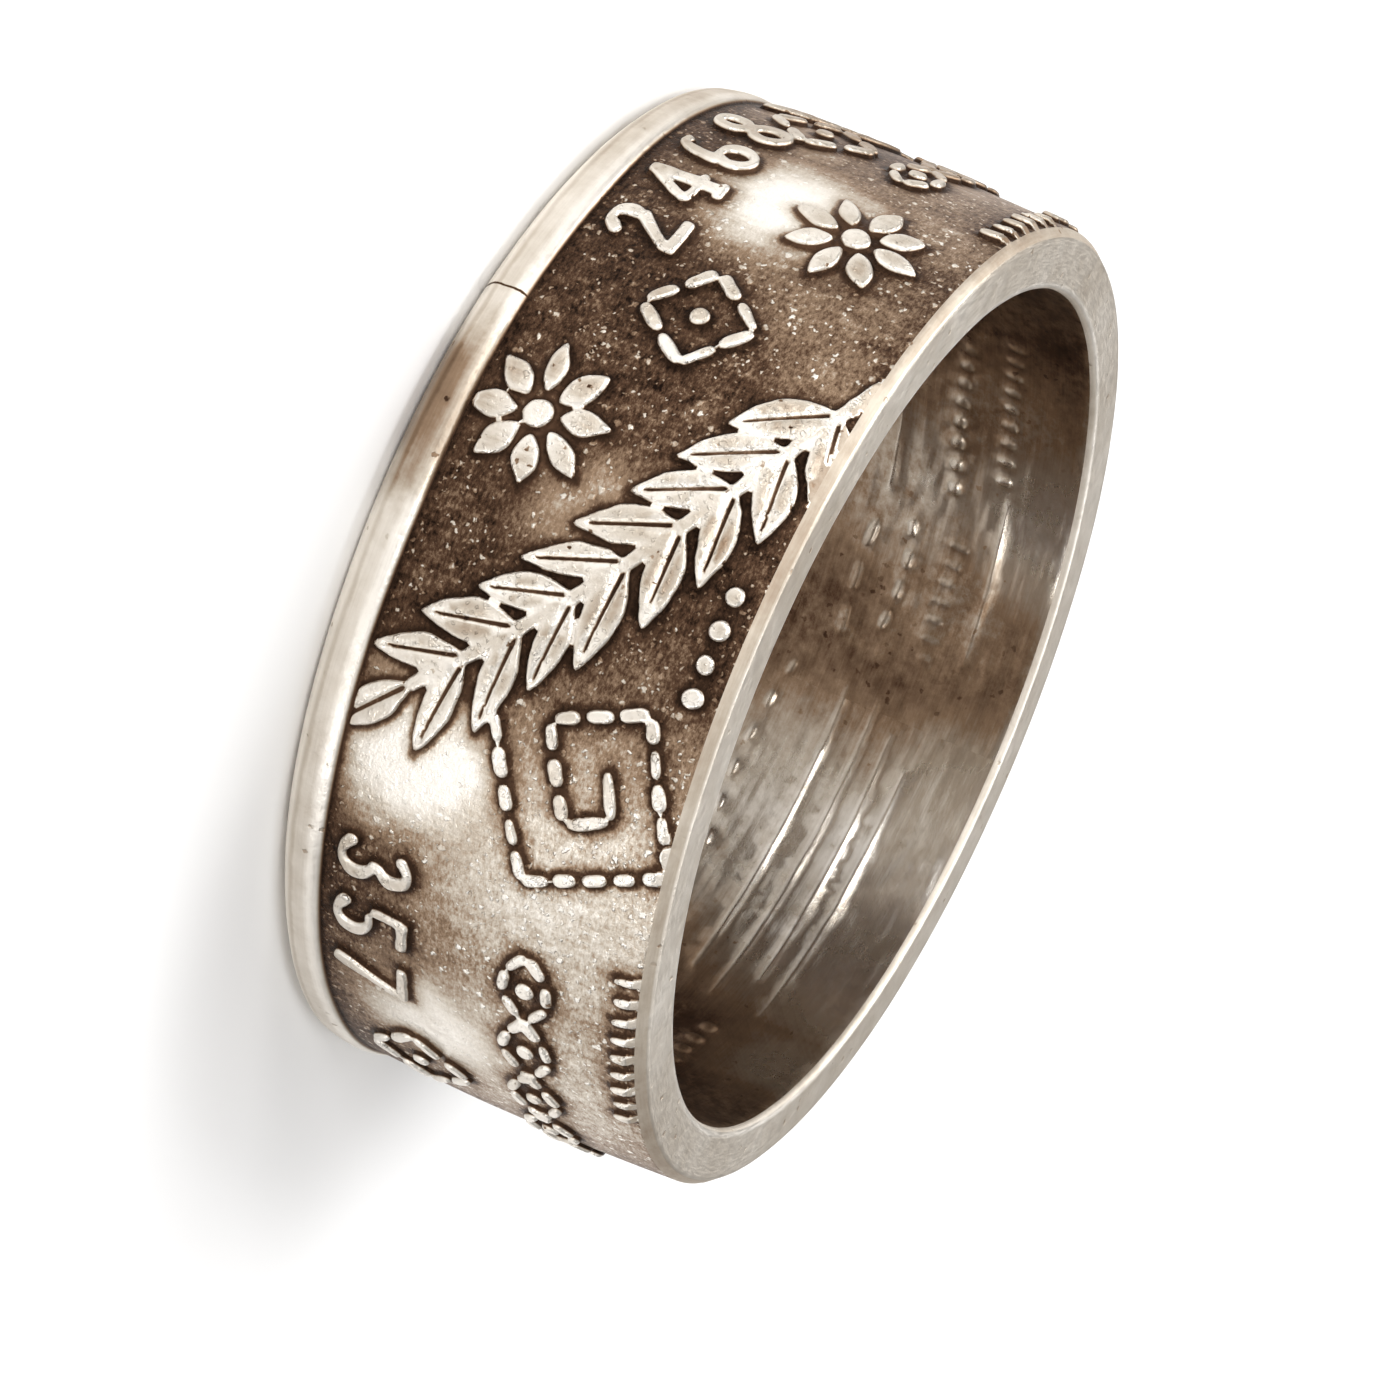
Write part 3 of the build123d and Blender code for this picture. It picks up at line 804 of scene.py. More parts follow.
def level_chains(grid, level, pitch):
    """Lines of evenly spaced points where a grid crosses a level, each with whether it is closed."""
    values = grid.values - level
    links = level_links(values)
    seen, chains = set(), []
    for start in sorted(links, key=lambda edge: len(links[edge])):
        if start in seen:
            continue
        chain, ahead = [], start
        while ahead is not None:
            seen.add(ahead)
            chain.append(ahead)
            ahead = next((edge for edge in links[chain[-1]] if edge not in seen), None)
        closed = len(chain) > 2 and start in links[chain[-1]]
        points = even_points(edge_points(grid, values, np.array(chain + chain[:1] * closed)), pitch)
        if len(points) > 3:
            chains.append((points[:-1] if closed else points, closed))
    return chains


def edge_points(grid, values, edges):
    """Where a level crosses each grid edge."""
    steep, j, i = edges.T
    first = values[j, i]
    share = first / (first - values[j + steep, i + 1 - steep])
    x, y = i + share * (1 - steep), j + share * steep
    return np.column_stack((grid.left + x * grid.step, grid.low + y * grid.step))


def even_points(points, pitch):
    """A line's points spaced evenly, about a pitch apart."""
    along = np.concatenate(([0], np.cumsum(np.hypot(*np.diff(points, axis=0).T))))
    even = np.linspace(0, along[-1], max(2, round(along[-1] / pitch)) + 1)
    return np.column_stack([np.interp(even, along, points[:, axis]) for axis in (0, 1)])


# Meshing a sheet along those lines

def honeycomb(area, pitch, wanted, seed):
    """Slightly uneven honeycomb of points inside a sheet where they are wanted."""
    draw = np.random.default_rng(seed)
    x, y = np.meshgrid(
        np.arange(area.left + pitch * 0.7, area.right - pitch, pitch),
        np.arange(area.low + pitch * 0.7, area.high - pitch * 0.5, pitch * 0.866),
    )
    x[1::2] += pitch / 2
    points = np.column_stack((x.ravel(), y.ravel())) + draw.uniform(-0.2, 0.2, (x.size, 2)) * pitch
    return points[wanted(*points.T)]


def sheet_frame(area):
    """Points on the sheet's lower and upper edges, then on its left and right edges."""
    across = np.linspace(area.left, area.right, AROUND + 1)
    up = np.linspace(area.low, area.high, 2 + int((area.high - area.low) / SIDE_PITCH))[1:-1]
    rows = [(across, np.full(AROUND + 1, y)) for y in (area.low, area.high)]
    sides = [(np.full(len(up), x), up) for x in (area.left, area.right)]
    return np.hstack(rows + sides).T, len(up)


def sheet_mesh(area, chains, fill, outward):
    """A sheet that is cut along some lines."""
    frame_points, side = sheet_frame(area)
    points, edges = [frame_points], []
    count = len(frame_points)
    for chain, closed in chains:
        x, y = chain.T
        inset = np.minimum.reduce([y - area.low, area.high - y, x - area.left, area.right - x])
        keep = inset > EDGE_CLEAR
        number = np.where(keep, count + np.cumsum(keep) - 1, -1)
        pairs = np.column_stack((number, np.roll(number, -1)))[: None if closed else -1]
        edges += pairs[(pairs >= 0).all(axis=1)].tolist()
        points.append(chain[keep])
        count += keep.sum()
    corners = [Vector(point) for point in np.vstack(points + [fill]).tolist()]
    verts, _, faces, origins, _, _ = delaunay_2d_cdt(corners, edges, [], 0, 1e-5, True)
    label = np.array([min(o) if o and min(o) < len(frame_points) else -1 for o in origins])
    points = np.array([v[:] for v in verts], float)
    return Sheet(points, turned(points, np.array(faces), outward), label, side)


def sheet_numbers(sheet, low_row, high_row, shift, first):
    """Vertex numbers in the whole ring for a sheet's points, and which of them are new."""
    columns, label = AROUND + 1, sheet.label
    numbers = np.full(len(label), -1)
    for row, start in ((low_row, 0), (high_row, columns)):
        on_row = (label >= start) & (label < start + columns)
        numbers[on_row] = row + (label[on_row] - start + shift) % AROUND
    right = label >= 2 * columns + sheet.side
    new = (numbers < 0) & ~right
    numbers[new] = first + np.arange(new.sum())
    left = {value: number for value, number in zip(label[new], numbers[new]) if value >= 0}
    numbers[right] = [left[value - sheet.side] for value in label[right]]
    return numbers, new


# The section of the band

def arc(middle, radius, start, end, count):
    """Points on a circular arc of the section, between two angles in degrees."""
    t = np.radians(np.linspace(start, end, count))
    return [(middle[0] + radius * math.cos(a), middle[1] + radius * math.sin(a)) for a in t]


def rim_section(band):
    """Section from the hole's lower edge, round the coin's rim, to the foot of the struck field."""
    bore, edge = band.bore_radius, band.bore_round
    foot = bore + band.rim_wall
    side, low = bore + band.rim_side_wall, band.rim_round
    field = wall_radii(band)[0]
    peak, peak_height = field + band.border_step, band.border_width * BORDER_PEAK
    quarter = np.radians(np.linspace(0, 90, 9))
    turn = ((side - foot) ** 2 + low**2) / (2 * low)
    rows = arc((bore + edge, edge), edge, 180, 270, 5) + [(foot - 0.05, 0.0)]
    rows += arc((foot, turn), turn, 270, 270 + math.degrees(math.asin((side - foot) / turn)), 8)
    for share in (0.3, 0.6, 0.85):
        rows.append((side + (peak - side) * math.sin(share * math.pi / 2), low + (peak_height - low) * share))
    across, up = peak - field, band.border_width - peak_height
    rows += [(peak - across * (1 - math.cos(t)), peak_height + up * math.sin(t)) for t in quarter[::2]]
    return rows


def cut_section(band):
    """Section from the top of the struck field, over bevel and cut face, to the hole's upper edge."""
    bore, edge, width = band.bore_radius, band.bore_round, band.width
    top = (wall_radii(band)[2], field_heights(band)[1])
    corner = (top[0] - band.bevel_width, width)
    bevel = [(top[0] + (corner[0] - top[0]) * t, top[1] + (corner[1] - top[1]) * t) for t in (0, 0.5, 0.88)]
    flat = (corner[0] - 0.03, corner[0] - 0.10, bore + 3.5 * edge, bore + edge + 0.05)
    return bevel + [(radius, width) for radius in flat] + arc((bore + edge, width - edge), edge, 90, 180, 5)


def bevel_radius(height, band):
    """Radius of the bevel's cone, which trims the relief at the cut edge."""
    slope = band.bevel_width / band.bevel_height
    return wall_radii(band)[2] + (field_heights(band)[1] - height) * slope


def field_radius(height, band):
    """Radius of the struck field's dome."""
    foot, _, top = wall_radii(band)
    low, high = field_heights(band)
    share = (height - low) / (high - low)
    return foot + (top - foot) * share + 4 * band.crown_rise * share * (1 - share)


def uneven_grid(layers, step=0.4):
    """Layers of soft noise over the outside of the ring, as one grid."""
    turn, half = wall_radii(settings()[0])[1], arc_length(180)
    x = np.arange(-half - 0.4, half + 0.8, step)
    y = np.arange(-0.4, BAND_WIDTH + 0.8, step)
    values = np.zeros((len(y), len(x)))
    for pitch, depth, seed in layers:
        for i, along in enumerate(x):
            side, front = turn * math.sin(along / turn), -turn * math.cos(along / turn)
            for j, height in enumerate(y):
                values[j, i] += depth * noise.noise(Vector((side + seed, front, height)) / pitch)
    return Grid(x[0], y[0], step, values)


def soft_steps(share):
    """Smooth rise from 0 to 1."""
    t = np.clip(share, 0, 1)
    return t * t * (3 - 2 * t)


# The ring as one mesh

def ring_rows(section, raised, shelter):
    """Points of each row of a section round the ring: angle, radius, height, raised and shelter."""
    rows = [(ROW_ANGLES, *place, lift, hidden) for place, lift, hidden in zip(section, raised, shelter)]
    return np.vstack([np.column_stack(np.broadcast_arrays(*row)) for row in rows])


def strip_faces(first, rows):
    """Quads between the rows of a section."""
    low = np.arange(AROUND)
    ahead = (low + 1) % AROUND
    strip = np.column_stack((low, ahead, ahead + AROUND, low + AROUND))
    return np.vstack([strip + first + row * AROUND for row in range(rows - 1)]).tolist()


def cut_sheet(area, grids, pitch, seed, outward):
    """A sheet cut along the lines of some grids of distances, each given with its lines."""
    chains = []
    for grid, lines in grids:
        for level in lines.levels:
            chains += level_chains(grid, level, lines.pitch)

    def open_ground(x, y):
        """Where none of those lines runs close by."""
        clear = np.full(x.shape, True)
        for grid, lines in grids:
            distance = read(grid, x, y)
            clear &= (distance > lines.above) | (distance < lines.below)
        return clear

    return sheet_mesh(area, chains, honeycomb(area, pitch, open_ground, seed), outward)


def turned(points, triangles, outward):
    """Triangles all wound the same way, without those of no area."""
    a, b, c = (points[triangles[:, i]] for i in range(3))
    area = (b[:, 0] - a[:, 0]) * (c[:, 1] - a[:, 1]) - (b[:, 1] - a[:, 1]) * (c[:, 0] - a[:, 0])
    flip = area < 0 if outward else area > 0
    triangles = np.where(flip[:, None], triangles[:, ::-1], triangles)
    return triangles[np.abs(area) > 1e-7]


def face_sheet(lay, band, relief):
    """The struck face as an unrolled sheet, the columns of its points, and the relief's distances."""
    half = arc_length(180)
    area = Area(-half, half, *field_heights(band))
    raised, veins = outside_outlines(lay, relief)
    shape, vein = ragged(distance_grid(raised, area)), distance_grid(veins, area)
    sheet = cut_sheet(area, [(shape, FACE_LINES), (vein, VEIN_LINES)], FIELD_PITCH, relief.seed, True)
    x, y = sheet.points.T
    angle = np.degrees(x / wall_radii(band)[1])
    return sheet, face_columns(angle, y, read(shape, x, y), read(vein, x, y), band, relief), shape


def face_columns(angle, height, distance, vein, band, relief):
    """Angle, radius, height, raised and shelter of points on the struck face."""
    low, outline = field_heights(band)[0], FACE_LINES.levels[0]
    rise = np.clip((outline - distance) / WALL_RUN, 0, 1)
    dome = 1 - TOP_DOME * (1 - np.clip(-distance / DOME_RUN, 0, 1))
    narrow_line = 1 - VEIN_DEPTH * np.exp(-((np.maximum(vein, 0) / VEIN_RUN) ** 2))
    share = np.sin(math.pi / 2 * rise) ** 0.9 * dome * narrow_line * soft_steps((height - low) / BORDER_RUN)
    radius = field_radius(height, band) + share * relief.height
    trimmed = np.minimum(radius, bevel_radius(height, band))
    hidden = np.clip(np.minimum(distance - outline, height - low) / REACH, 0, 1)
    cut = radius > trimmed + TRIM_LEAST
    share, hidden = np.where(cut, TRIM_RAISED, share), np.where(cut, 1.0, hidden)
    return np.column_stack((angle, trimmed, height, share, hidden))


def hole_sheet(lay, band, relief):
    """The wall of the finger hole as an unrolled sheet, and the columns of its points."""
    turn, edge = band.bore_radius, band.bore_round
    area = Area(-math.pi * turn, math.pi * turn, edge, band.width - edge)
    shape = distance_grid(inside_outlines(lay, relief, turn), area)
    sheet = cut_sheet(area, [(shape, TRACE_LINES)], WALL_PITCH, relief.seed + 1, False)
    x, y = sheet.points.T
    share = soft_steps((TRACE_LINES.levels[0] - read(shape, x, y)) / TRACE_RUN)
    radius = turn - share * TRACE_LIFT
    return sheet, np.column_stack((np.degrees(x / turn) + 180, radius, y, share, np.ones(len(x))))


def ring_points(columns, band):
    """The ring's points in metres, from their angle, radius and height, slightly uneven as made by hand."""
    angle, radius, height = columns[:, 0], columns[:, 1], columns[:, 2]
    low, high = field_heights(band)
    along = arc_length(1) * ((angle + 180) % 360 - 180)
    near_border = soft_steps(height / low) * soft_steps((high - height) / (high - low))
    radius = radius + read(uneven_grid(LUMPS), along, height)
    height = height + near_border * read(uneven_grid(DRIFT), along, np.full(len(angle), low))
    t = np.radians(angle)
    return np.column_stack((radius * np.sin(t), -radius * np.cos(t), height)) * MM


def ring_mesh(name, materials):
    """The whole ring as one closed mesh, with its attributes and materials."""
    band, relief = settings()
    lay = partial(laid_out, motif_tree(), wobble=relief.wobble, material=materials[0])
    face, face_points, shape = face_sheet(lay, band, relief)
    hole, hole_points = hole_sheet(lay, band, relief)
    rim, cut = rim_section(band), cut_section(band)
    foot, (low, high) = wall_radii(band)[0], field_heights(band)
    rim_shelter = [min(1, math.hypot(r - foot, z - low) / REACH) for r, z in rim]
    level, clear, bare = np.full(AROUND, high), np.full(AROUND, REACH), [1.0] * (len(cut) - 1)
    top = face_columns(ROW_ANGLES, level, read(shape, arc_length(1) * ROW_ANGLES, level), clear, band, relief)
    cut_first = len(rim) * AROUND
    count = cut_first + len(cut) * AROUND
    face_numbers, face_new = sheet_numbers(face, cut_first - AROUND, cut_first, 0, count)
    hole_numbers, hole_new = sheet_numbers(hole, 0, count - AROUND, AROUND // 2, count + face_new.sum())
    columns = np.vstack((
        ring_rows(rim, [1.0] * (len(rim) - 1) + [0.0], rim_shelter),
        ring_rows(cut, [top[:, 3]] + bare, [top[:, 4]] + bare),
        face_points[face_new], hole_points[hole_new],
    ))
    groups = [
        face_numbers[face.triangles].tolist(), strip_faces(0, len(rim)),
        strip_faces(cut_first, len(cut)), hole_numbers[hole.triangles].tolist(),
    ]
    mesh = bpy.data.meshes.new(name)
    mesh.from_pydata(ring_points(columns, band).tolist(), [], sum(groups, []))
    for material in materials:
        mesh.materials.append(material)
    surfaces = np.repeat(range(len(groups)), [len(group) for group in groups])
    mesh.polygons.foreach_set("material_index", surfaces.astype(np.int32))
    for attribute, values in (("raised", columns[:, 3]), ("shelter", columns[:, 4])):
        mesh.attributes.new(attribute, "FLOAT", "POINT").data.foreach_set("value", values.astype(np.float32))
    mesh.shade_smooth()
    mesh.validate()
    return mesh


# Materials

def metal(name):
    """A new material, and places on the ring in millimetres: as they are, and unrolled, which is
    round the ring, up, and out from the axis."""
    made = bpy.data.materials.new(name)
    made.use_nodes = True
    place = add(made.node_tree, "ShaderNodeTexCoord")["Object"] * (1 / MM)
    parts = add(place.tree, "ShaderNodeSeparateXYZ", {0: place})
    x, y = parts["X"], parts["Y"]
    around, out = x.by("ARCTAN2", y * -1.0) * FIELD_RADIUS, (x * x + y * y).by("SQRT")
    return made, place, add(place.tree, "ShaderNodeCombineXYZ", {"X": around, "Y": parts["Z"], "Z": out})


def first_node(tree, kind):
    """The tree's own node of a kind."""
    return next(node for node in tree.nodes if node.type == kind)


def grain(place, pitch, detail=2.0, stretch=(1, 1, 1), rough=0.55):
    """Noise about zero, of about a pitch in millimetres, longer along the axes that are stretched."""
    sizes = {"Scale": 1.0, "Detail": detail, "Roughness": rough}
    sizes["Vector"] = place * [1 / (pitch * share) for share in stretch]
    return add(place.tree, "ShaderNodeTexNoise", sizes, noise_dimensions="3D") - 0.5


def warped(place, pitch, reach):
    """Places shifted by noise, which makes what is laid over them irregular."""
    sizes = {"Vector": place * (1 / pitch), "Scale": 1.0, "Detail": 1.0}
    return place + (add(place.tree, "ShaderNodeTexNoise", sizes)["Color"] - 0.5) * reach


def specks(place, pitch, share):
    """Scattered specks about half a pitch across, from faint to full, in a share of the places."""
    sizes = {"Vector": place * (1 / pitch), "Scale": 1.0, "Randomness": 1.0}
    cells = add(place.tree, "ShaderNodeTexVoronoi", sizes)
    drawn = add(place.tree, "ShaderNodeSeparateColor", {0: cells["Color"]})
    return cells.eased(0.44, 0.24) * drawn.eased(share, 0.0)


def patch_mask(place, drift, patches, radius):
    """How strongly a table's patches cover each place, 0 to 1, with uneven edges. Depending on the table, the
    patches are polished silver with painted highlights, painted light, oxide, or dull places on the rim.
    """
    best = None
    for patch in patches:
        t = math.radians(patch.angle)
        far = place.by("DISTANCE", (radius * math.sin(t), -radius * math.cos(t), patch.height)) + drift
        mask = far.eased(patch.reach, patch.reach * 0.1, 0.0, patch.strength)
        best = best.by("MAXIMUM", mask) if best else mask
    return best


def dressed(made, finish, tone, roughness, layers):
    """A metal coloured from deep oxide at tone 0 to bare silver at 1, with a roughness, and with a
    normal from layers of height, each with its depth in millimetres."""
    tree = made.node_tree
    colour, normal = add(tree, "ShaderNodeValToRGB", {0: tone}), {}
    stops = colour.socket.node.color_ramp.elements
    while len(stops) < len(TONES):
        stops.new(0.5)
    for stop, (position, name) in zip(stops, TONES):
        stop.position = position
        stop.color = getattr(finish, name)
    for height, depth in layers:
        sizes = {"Height": height, "Distance": depth * MM, "Strength": 1.0, **normal}
        normal = {"Normal": add(tree, "ShaderNodeBump", sizes)}
    surface = first_node(tree, "BSDF_PRINCIPLED").inputs
    surface["Metallic"].default_value = 1.0
    for name, value in {"Base Color": colour, "Roughness": roughness, **normal}.items():
        tree.links.new(value.socket, surface[name])
    return made


def struck_material(finish):
    """Coin silver struck in a die, blackened, and polished back where a cloth reaches: bright tops on a dark,
    sandy ground that pales in soft patches. These patches are partly polished silver and partly painted
    highlights and painted light, and the ground's bright grains are partly painted glints. The sand and the
    cloth's strokes are finer than 0.05 mm, and are drawn coarser so that they show."""
    made, place, unrolled = metal("struck_silver")
    kept = (add(place.tree, "ShaderNodeAttribute", attribute_name=name) for name in ("raised", "shelter"))
    raised, shelter = (value["Fac"] for value in kept)
    cloud, mottle = grain(place, 2.4, 3), grain(place, 0.42, 4, rough=0.7)
    sand, strokes = grain(unrolled, 0.085, 3, (1.7, 1, 1), 0.75), grain(unrolled, 0.16, 3, (1, 7, 1))
    drift = 2.6 * cloud + 1.3 * mottle + 1.4 * strokes
    # Painted highlights and painted light: the first patches are polished silver that also stand in for lamp
    # reflections on the field, the second are painted light, and the third are oxide.
    rubbed_and_highlit, pale, smoke = (patch_mask(place, drift, patches, FIELD_RADIUS) for patches in (RUBS_AND_HIGHLIGHTS, PAINTED_LIGHT_PATCHES, SMOKED))
    # Polished silver with its painted highlights, and the painted light, taken together.
    cleaned_and_lit, sandy = rubbed_and_highlit.by("MAXIMUM", pale), 1.0 - 0.75 * rubbed_and_highlit
    crowd, loose = shelter.eased(0.05, 0.7, 0.62, 0.30) + 0.9 * cloud, warped(place, 0.12, 0.16)
    # The bright grains are sand and also painted glints: small highlights drawn into the colour.
    grains_and_glints = specks(loose, 0.12, crowd).by("MAXIMUM", specks(loose, 0.21, 0.55 * crowd)) * sandy
    pits = specks(loose, 0.16, 0.05)
    tone = 0.17 + 0.80 * cleaned_and_lit + (0.60 * mottle + 0.80 * sand) * sandy
    tone = tone + 0.30 * cloud + 0.26 * strokes + 0.52 * grains_and_glints
    ledge = shelter + 0.34 * mottle + 0.16 * sand
    tone = tone * ledge.eased(0.0, 0.30, 0.30, 1.0) * ledge.eased(0.1, 0.85, 0.76, 1.06)
    trimmed = (raised * shelter).eased(0.4, 0.8)
    # The raised tops are drawn duller away from the polished and painted-light patches, so they follow the
    # painted light too.
    dull = raised.eased(0.84, 0.94) * cleaned_and_lit.eased(0.0, 0.7, 0.34, 0.04) + 0.08 * trimmed
    top = raised.eased(0.28, 0.66, 0.0, 0.94) - dull + 0.34 * mottle + 0.80 * cloud - 0.60 * pits
    tone = tone.by("MAXIMUM", top * raised.eased(0.24, 0.46)) * (1.0 - smoke)
    roughness = tone.eased(0.1, 0.9, 0.54, 0.30).by("MAXIMUM", 0.62 * trimmed)
    layers = [(mottle, 0.045), (sand, 0.016), (grains_and_glints, 0.030), (1.0 - pits, 0.015)]
    return dressed(made, finish, tone, roughness, layers)


def rim_material(finish):
    """The coin's rim, rolled smooth and worn: satin, with painted highlights along its lip and on its
    rounding, a painted dark line of shade just above the rounding, pits, oxide where it meets the struck
    field, and a closed crack across it. The scratches round it are drawn several times as wide as they are,
    so that they show."""
    made, place, unrolled = metal("rim_silver")
    shelter = add(place.tree, "ShaderNodeAttribute", attribute_name="shelter")["Fac"]
    parts = add(place.tree, "ShaderNodeSeparateXYZ", {0: unrolled})
    scratches = grain(unrolled, 0.05, 3, (26, 1, 1))
    cloud, mottle = grain(place, 5.5, 3), grain(place, 0.8, 4, rough=0.65)
    pits = specks(warped(place, 0.12, 0.14), 0.20, 0.06)
    bend = 0.12 * mottle
    height = parts["Y"] + bend
    # Painted highlight: the lip and the rounding are drawn brighter, as curved metal there would catch the
    # light.
    bright = height.eased(0.82, 1.02).by("MAXIMUM", height.eased(0.50, 0.34))
    # Painted shade: a dark line drawn just above the rounding.
    narrow_line = height.eased(0.42, 0.50) * height.eased(0.60, 0.52)
    dull = patch_mask(place, 5.0 * cloud + 1.5 * mottle, DULL, FIELD_RADIUS)
    tone = 0.84 + 0.14 * bright - 0.36 * dull - 0.09 * narrow_line - 0.30 * pits
    tone = tone + 0.34 * cloud + 0.26 * mottle + 0.16 * scratches
    away = (parts["X"] - CRACK_AT + bend).by("ABSOLUTE")
    tone = (tone * shelter.eased(0.0, 0.22, 0.15, 1.0)).by("MINIMUM", away.eased(0.012, 0.05, 0.12, 1.0))
    layers = [(mottle, 0.06), (scratches, 0.004), (1.0 - pits, 0.02)]
    return dressed(made, finish, tone, scratches.eased(-0.2, 0.2, 0.40, 0.54), layers)


def cut_material(finish):
    """The cut edge, sanded flat: an even satin, brighter on the hole's worn corner and duller on the
    bevel. The sanding is drawn coarser than its real grit, so that it shows."""
    made, place, unrolled = metal("cut_silver")
    parts = add(place.tree, "ShaderNodeSeparateXYZ", {0: unrolled})
    scratches, mottle = grain(unrolled, 0.05, 3, (10, 1, 1)), grain(place, 0.7, 4, rough=0.65)
    cloud, pits = grain(place, 4.5, 2), specks(warped(place, 0.12, 0.14), 0.20, 0.05)
    bevel = parts["Y"].eased(BAND_WIDTH - 0.01, BAND_WIDTH - 0.05)
    corner = parts["Z"].eased(BORE_RADIUS + 0.22, BORE_RADIUS + 0.12)
    tone = 0.78 + 0.14 * corner - 0.12 * bevel - 0.22 * pits
    tone = tone + 0.30 * cloud + 0.26 * mottle + 0.12 * scratches
    roughness = scratches.eased(-0.2, 0.2, 0.32, 0.46).by("MAXIMUM", 0.62 * bevel)
    return dressed(made, finish, tone, roughness, [(mottle, 0.03), (scratches, 0.003), (1.0 - pits, 0.015)])


def hole_material(finish):
    """The wall of the hole, stretched on a mandrel, stained and worn by the finger: a blotchy satin with
    paler places that are partly worn and partly painted highlights, with long soft glints and stray
    scratches, which are drawn wide enough to show."""
    made, place, unrolled = metal("hole_silver")
    raised = add(place.tree, "ShaderNodeAttribute", attribute_name="raised")["Fac"]
    cloud, mottle = grain(place, 1.9, 4, rough=0.6), grain(unrolled, 0.36, 5, (1.3, 1, 1), 0.72)
    across = {"Vector": unrolled, "Angle": 0.6}
    crossed = add(place.tree, "ShaderNodeVectorRotate", across, rotation_type="Z_AXIS")
    scratches, brushed = grain(unrolled, 0.055, 3, (22, 1, 1)), grain(crossed, 0.07, 3, (16, 1, 1))
    # Painted highlights: the paler places are worn silver and also stand in for lamp reflections in the hole.
    rubbed_and_highlit = patch_mask(place, 4.0 * cloud + 2.4 * mottle + 0.8 * brushed, INNER_RUBS_AND_HIGHLIGHTS, BORE_RADIUS)
    pits = specks(warped(place, 0.12, 0.18), 0.18, rubbed_and_highlit.eased(0.0, 0.5, 0.15, 0.04))
    tone = 0.26 + 0.66 * rubbed_and_highlit + 0.60 * cloud + 0.74 * mottle + 0.16 * scratches + 0.12 * brushed
    tone = tone - 0.16 * pits + 0.16 * raised
    waves = grain(unrolled, 0.55, 1, (3, 1, 1))
    layers = [(waves, 0.06), (mottle, 0.006), (scratches, 0.002), (brushed, 0.001)]
    return dressed(made, finish, tone, tone.eased(0.1, 0.9, 0.42, 0.25), layers)


def floor_material(finish):
    """Plain matt pale floor."""
    made = bpy.data.materials.new("pale_floor")
    made.use_nodes = True
    surface = first_node(made.node_tree, "BSDF_PRINCIPLED").inputs
    surface["Base Color"].default_value = finish.floor
    surface["Roughness"].default_value = 0.9
    surface["Specular IOR Level"].default_value = 0.1
    return made


# The stage

def direction(angle, elevation):
    """Unit vector at an angle round the ring from the front towards +X, and above the floor."""
    a, e = math.radians(angle), math.radians(elevation)
    return Vector((math.sin(a) * math.cos(e), -math.cos(a) * math.cos(e), math.sin(e)))


def lamp(name, angle, elevation, distance, size, power):
    """Soft box aimed at the ring."""
    data = bpy.data.lights.new(name, "AREA")
    data.shape = "RECTANGLE"
    data.size, data.size_y = size
    data.energy = power
    made = bpy.data.objects.new(name, data)
    away = direction(angle, elevation)
    middle = Vector((0, 0, BAND_WIDTH * MM / 2))
    made.location = middle + away * distance
    made.rotation_euler = away.to_track_quat("Z", "Y").to_euler()
    bpy.context.scene.collection.objects.link(made)
    return made


def camera(studio):
    """Camera at the photograph's angle, rolled as the ring was turned in the frame."""
    elevation, roll = studio.elevation, studio.roll
    back = Vector((0, -math.cos(elevation), math.sin(elevation)))
    level, up = Vector((1, 0, 0)), Vector((0, math.sin(elevation), math.cos(elevation)))
    right = math.cos(roll) * level + math.sin(roll) * up
    top = math.cos(roll) * up - math.sin(roll) * level
    per_px = studio.distance / studio.lens_px
    place = Vector((0, 0, BAND_WIDTH * MM / 2)) + back * studio.distance
    place -= right * (studio.middle_x - FRAME_PX / 2) * per_px
    place -= top * (FRAME_PX / 2 - studio.middle_y) * per_px
    data = bpy.data.cameras.new("camera")
    data.lens = studio.lens_px / FRAME_PX * data.sensor_width
    data.clip_start = 0.001
    made = bpy.data.objects.new("camera", data)
    made.matrix_world = Matrix.Translation(place) @ Matrix((right, top, back)).transposed().to_4x4()
    bpy.context.scene.collection.objects.link(made)
    bpy.context.scene.camera = made
    return made


# Operators

class COINRING_OT_band(bpy.types.Operator):
    """Makes the silver ring"""

    bl_idname = "coin_ring.band"
    bl_label = "Make the ring"

    def execute(self, context):
        finish = context.scene.coin_ring_finish
        materials = [maker(finish) for maker in (struck_material, rim_material, cut_material, hole_material)]
        ring = bpy.data.objects.new("silver_ring", ring_mesh("silver_ring", materials))
        context.scene.collection.objects.link(ring)
        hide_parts(NODE)
        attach(ring, "root")
        return {"FINISHED"}


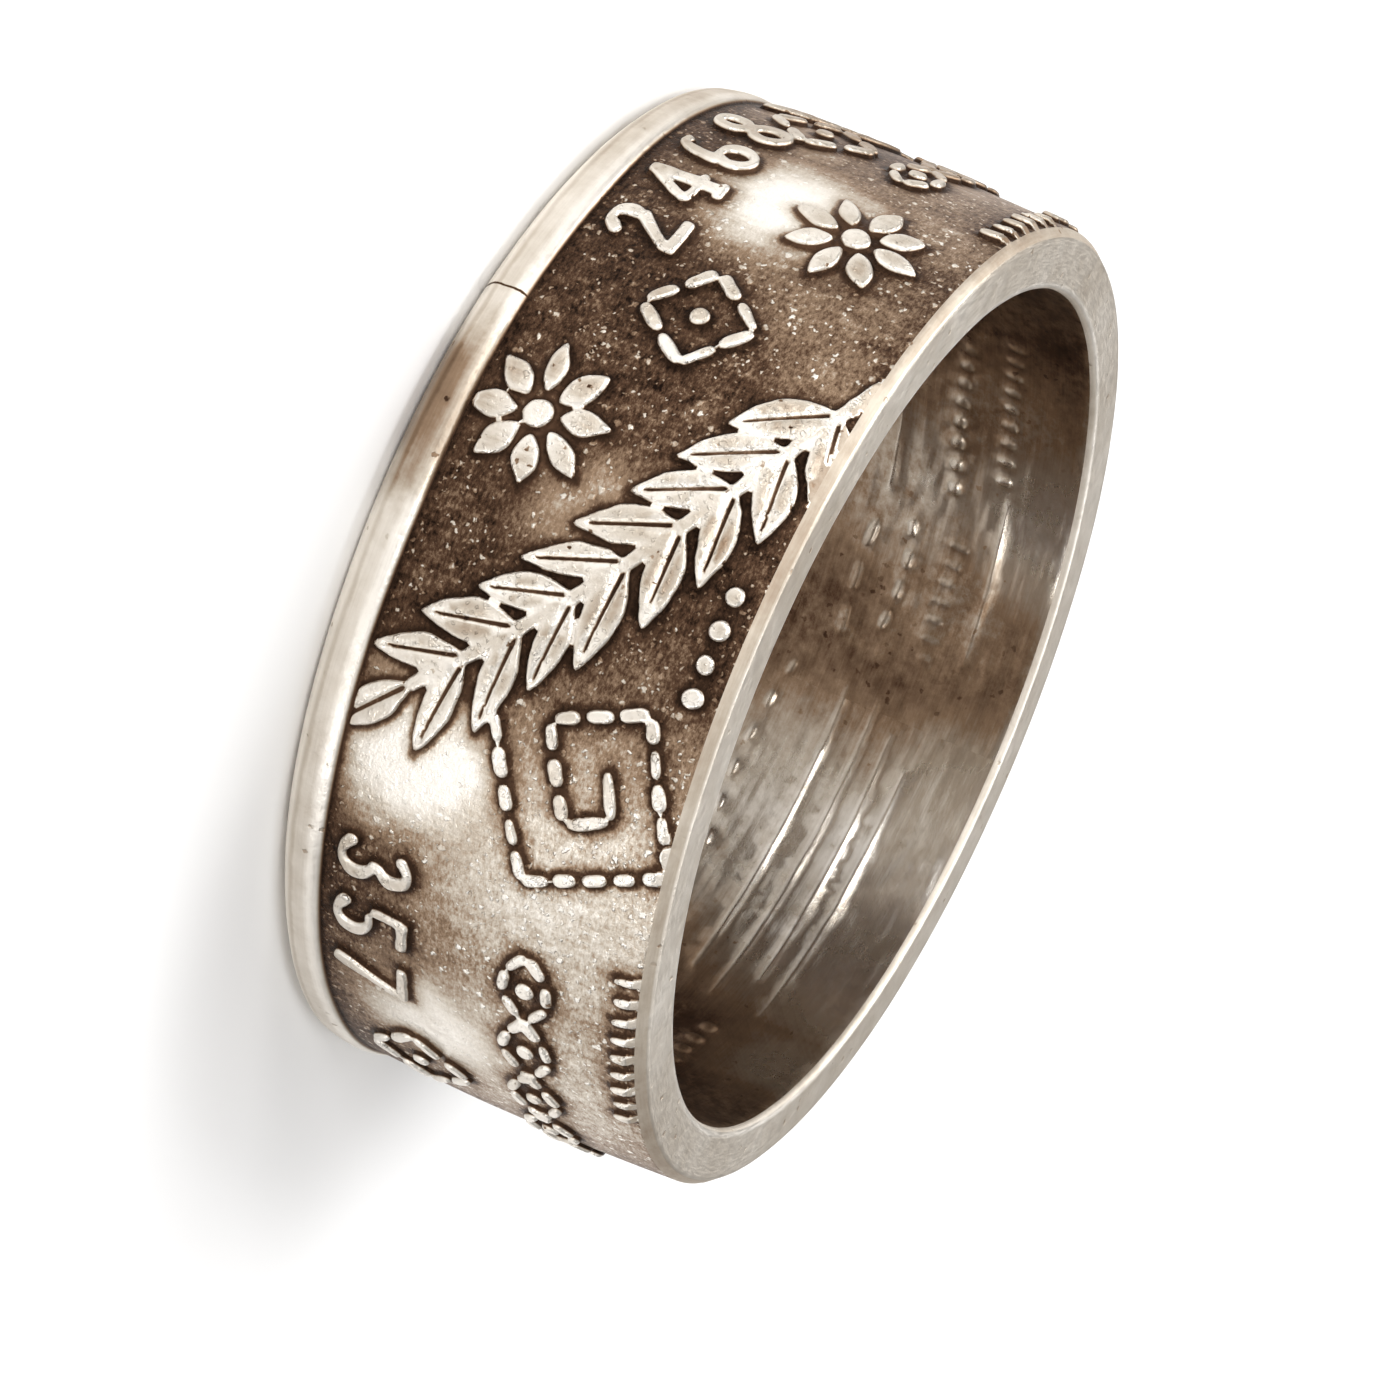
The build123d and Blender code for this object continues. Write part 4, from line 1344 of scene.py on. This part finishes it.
class COINRING_OT_stage(bpy.types.Operator):
    """Makes the floor, the lamps and the camera"""

    bl_idname = "coin_ring.stage"
    bl_label = "Make the stage"

    def execute(self, context):
        scene = context.scene
        floor = flat_object("floor", faces=[bar(FLOOR_SIDE, FLOOR_SIDE)])
        floor.data.materials.append(floor_material(scene.coin_ring_finish))
        for name, angle, elevation, distance, size, power in LAMPS:
            lamp(name, angle, elevation, distance, size, power)
        world = bpy.data.worlds.new("soft_white")
        world.use_nodes = True
        sky = first_node(world.node_tree, "BACKGROUND").inputs
        sky["Color"].default_value = linear("#fefdfc")
        sky["Strength"].default_value = WORLD_STRENGTH
        scene.world = world
        scene.view_settings.view_transform = "Standard"
        camera(scene.coin_ring_studio)
        return {"FINISHED"}


class COINRING_PT_panel(bpy.types.Panel):
    """Lists the sizes, colours and makers"""

    bl_label = "Coin ring"
    bl_space_type = "VIEW_3D"
    bl_region_type = "UI"
    bl_category = "Coin ring"

    def draw(self, context):
        for name in GROUPS:
            group = getattr(context.scene, name)
            box = self.layout.box()
            for prop in own_props(group):
                box.prop(group, prop.identifier)
        for operator in OPERATORS:
            self.layout.operator(operator.bl_idname)


GROUPS = {
    "coin_ring_band": CoinRingBand, "coin_ring_relief": CoinRingRelief,
    "coin_ring_finish": CoinRingFinish, "coin_ring_studio": CoinRingStudio,
}
OPERATORS = (COINRING_OT_band, COINRING_OT_stage)


def register():
    """Registers the classes and hangs their settings on the scene."""
    for cls in (*GROUPS.values(), *OPERATORS, COINRING_PT_panel):
        bpy.utils.register_class(cls)
    for name, cls in GROUPS.items():
        setattr(bpy.types.Scene, name, PointerProperty(type=cls))


def unregister():
    """Takes the settings and the classes away again."""
    for name in GROUPS:
        delattr(bpy.types.Scene, name)
    for cls in (COINRING_PT_panel, *reversed(OPERATORS), *reversed(GROUPS.values())):
        bpy.utils.unregister_class(cls)


def main():
    """Builds the scene."""
    register()
    bpy.ops.coin_ring.band()
    bpy.ops.coin_ring.stage()


if __name__ == "__main__":
    main()
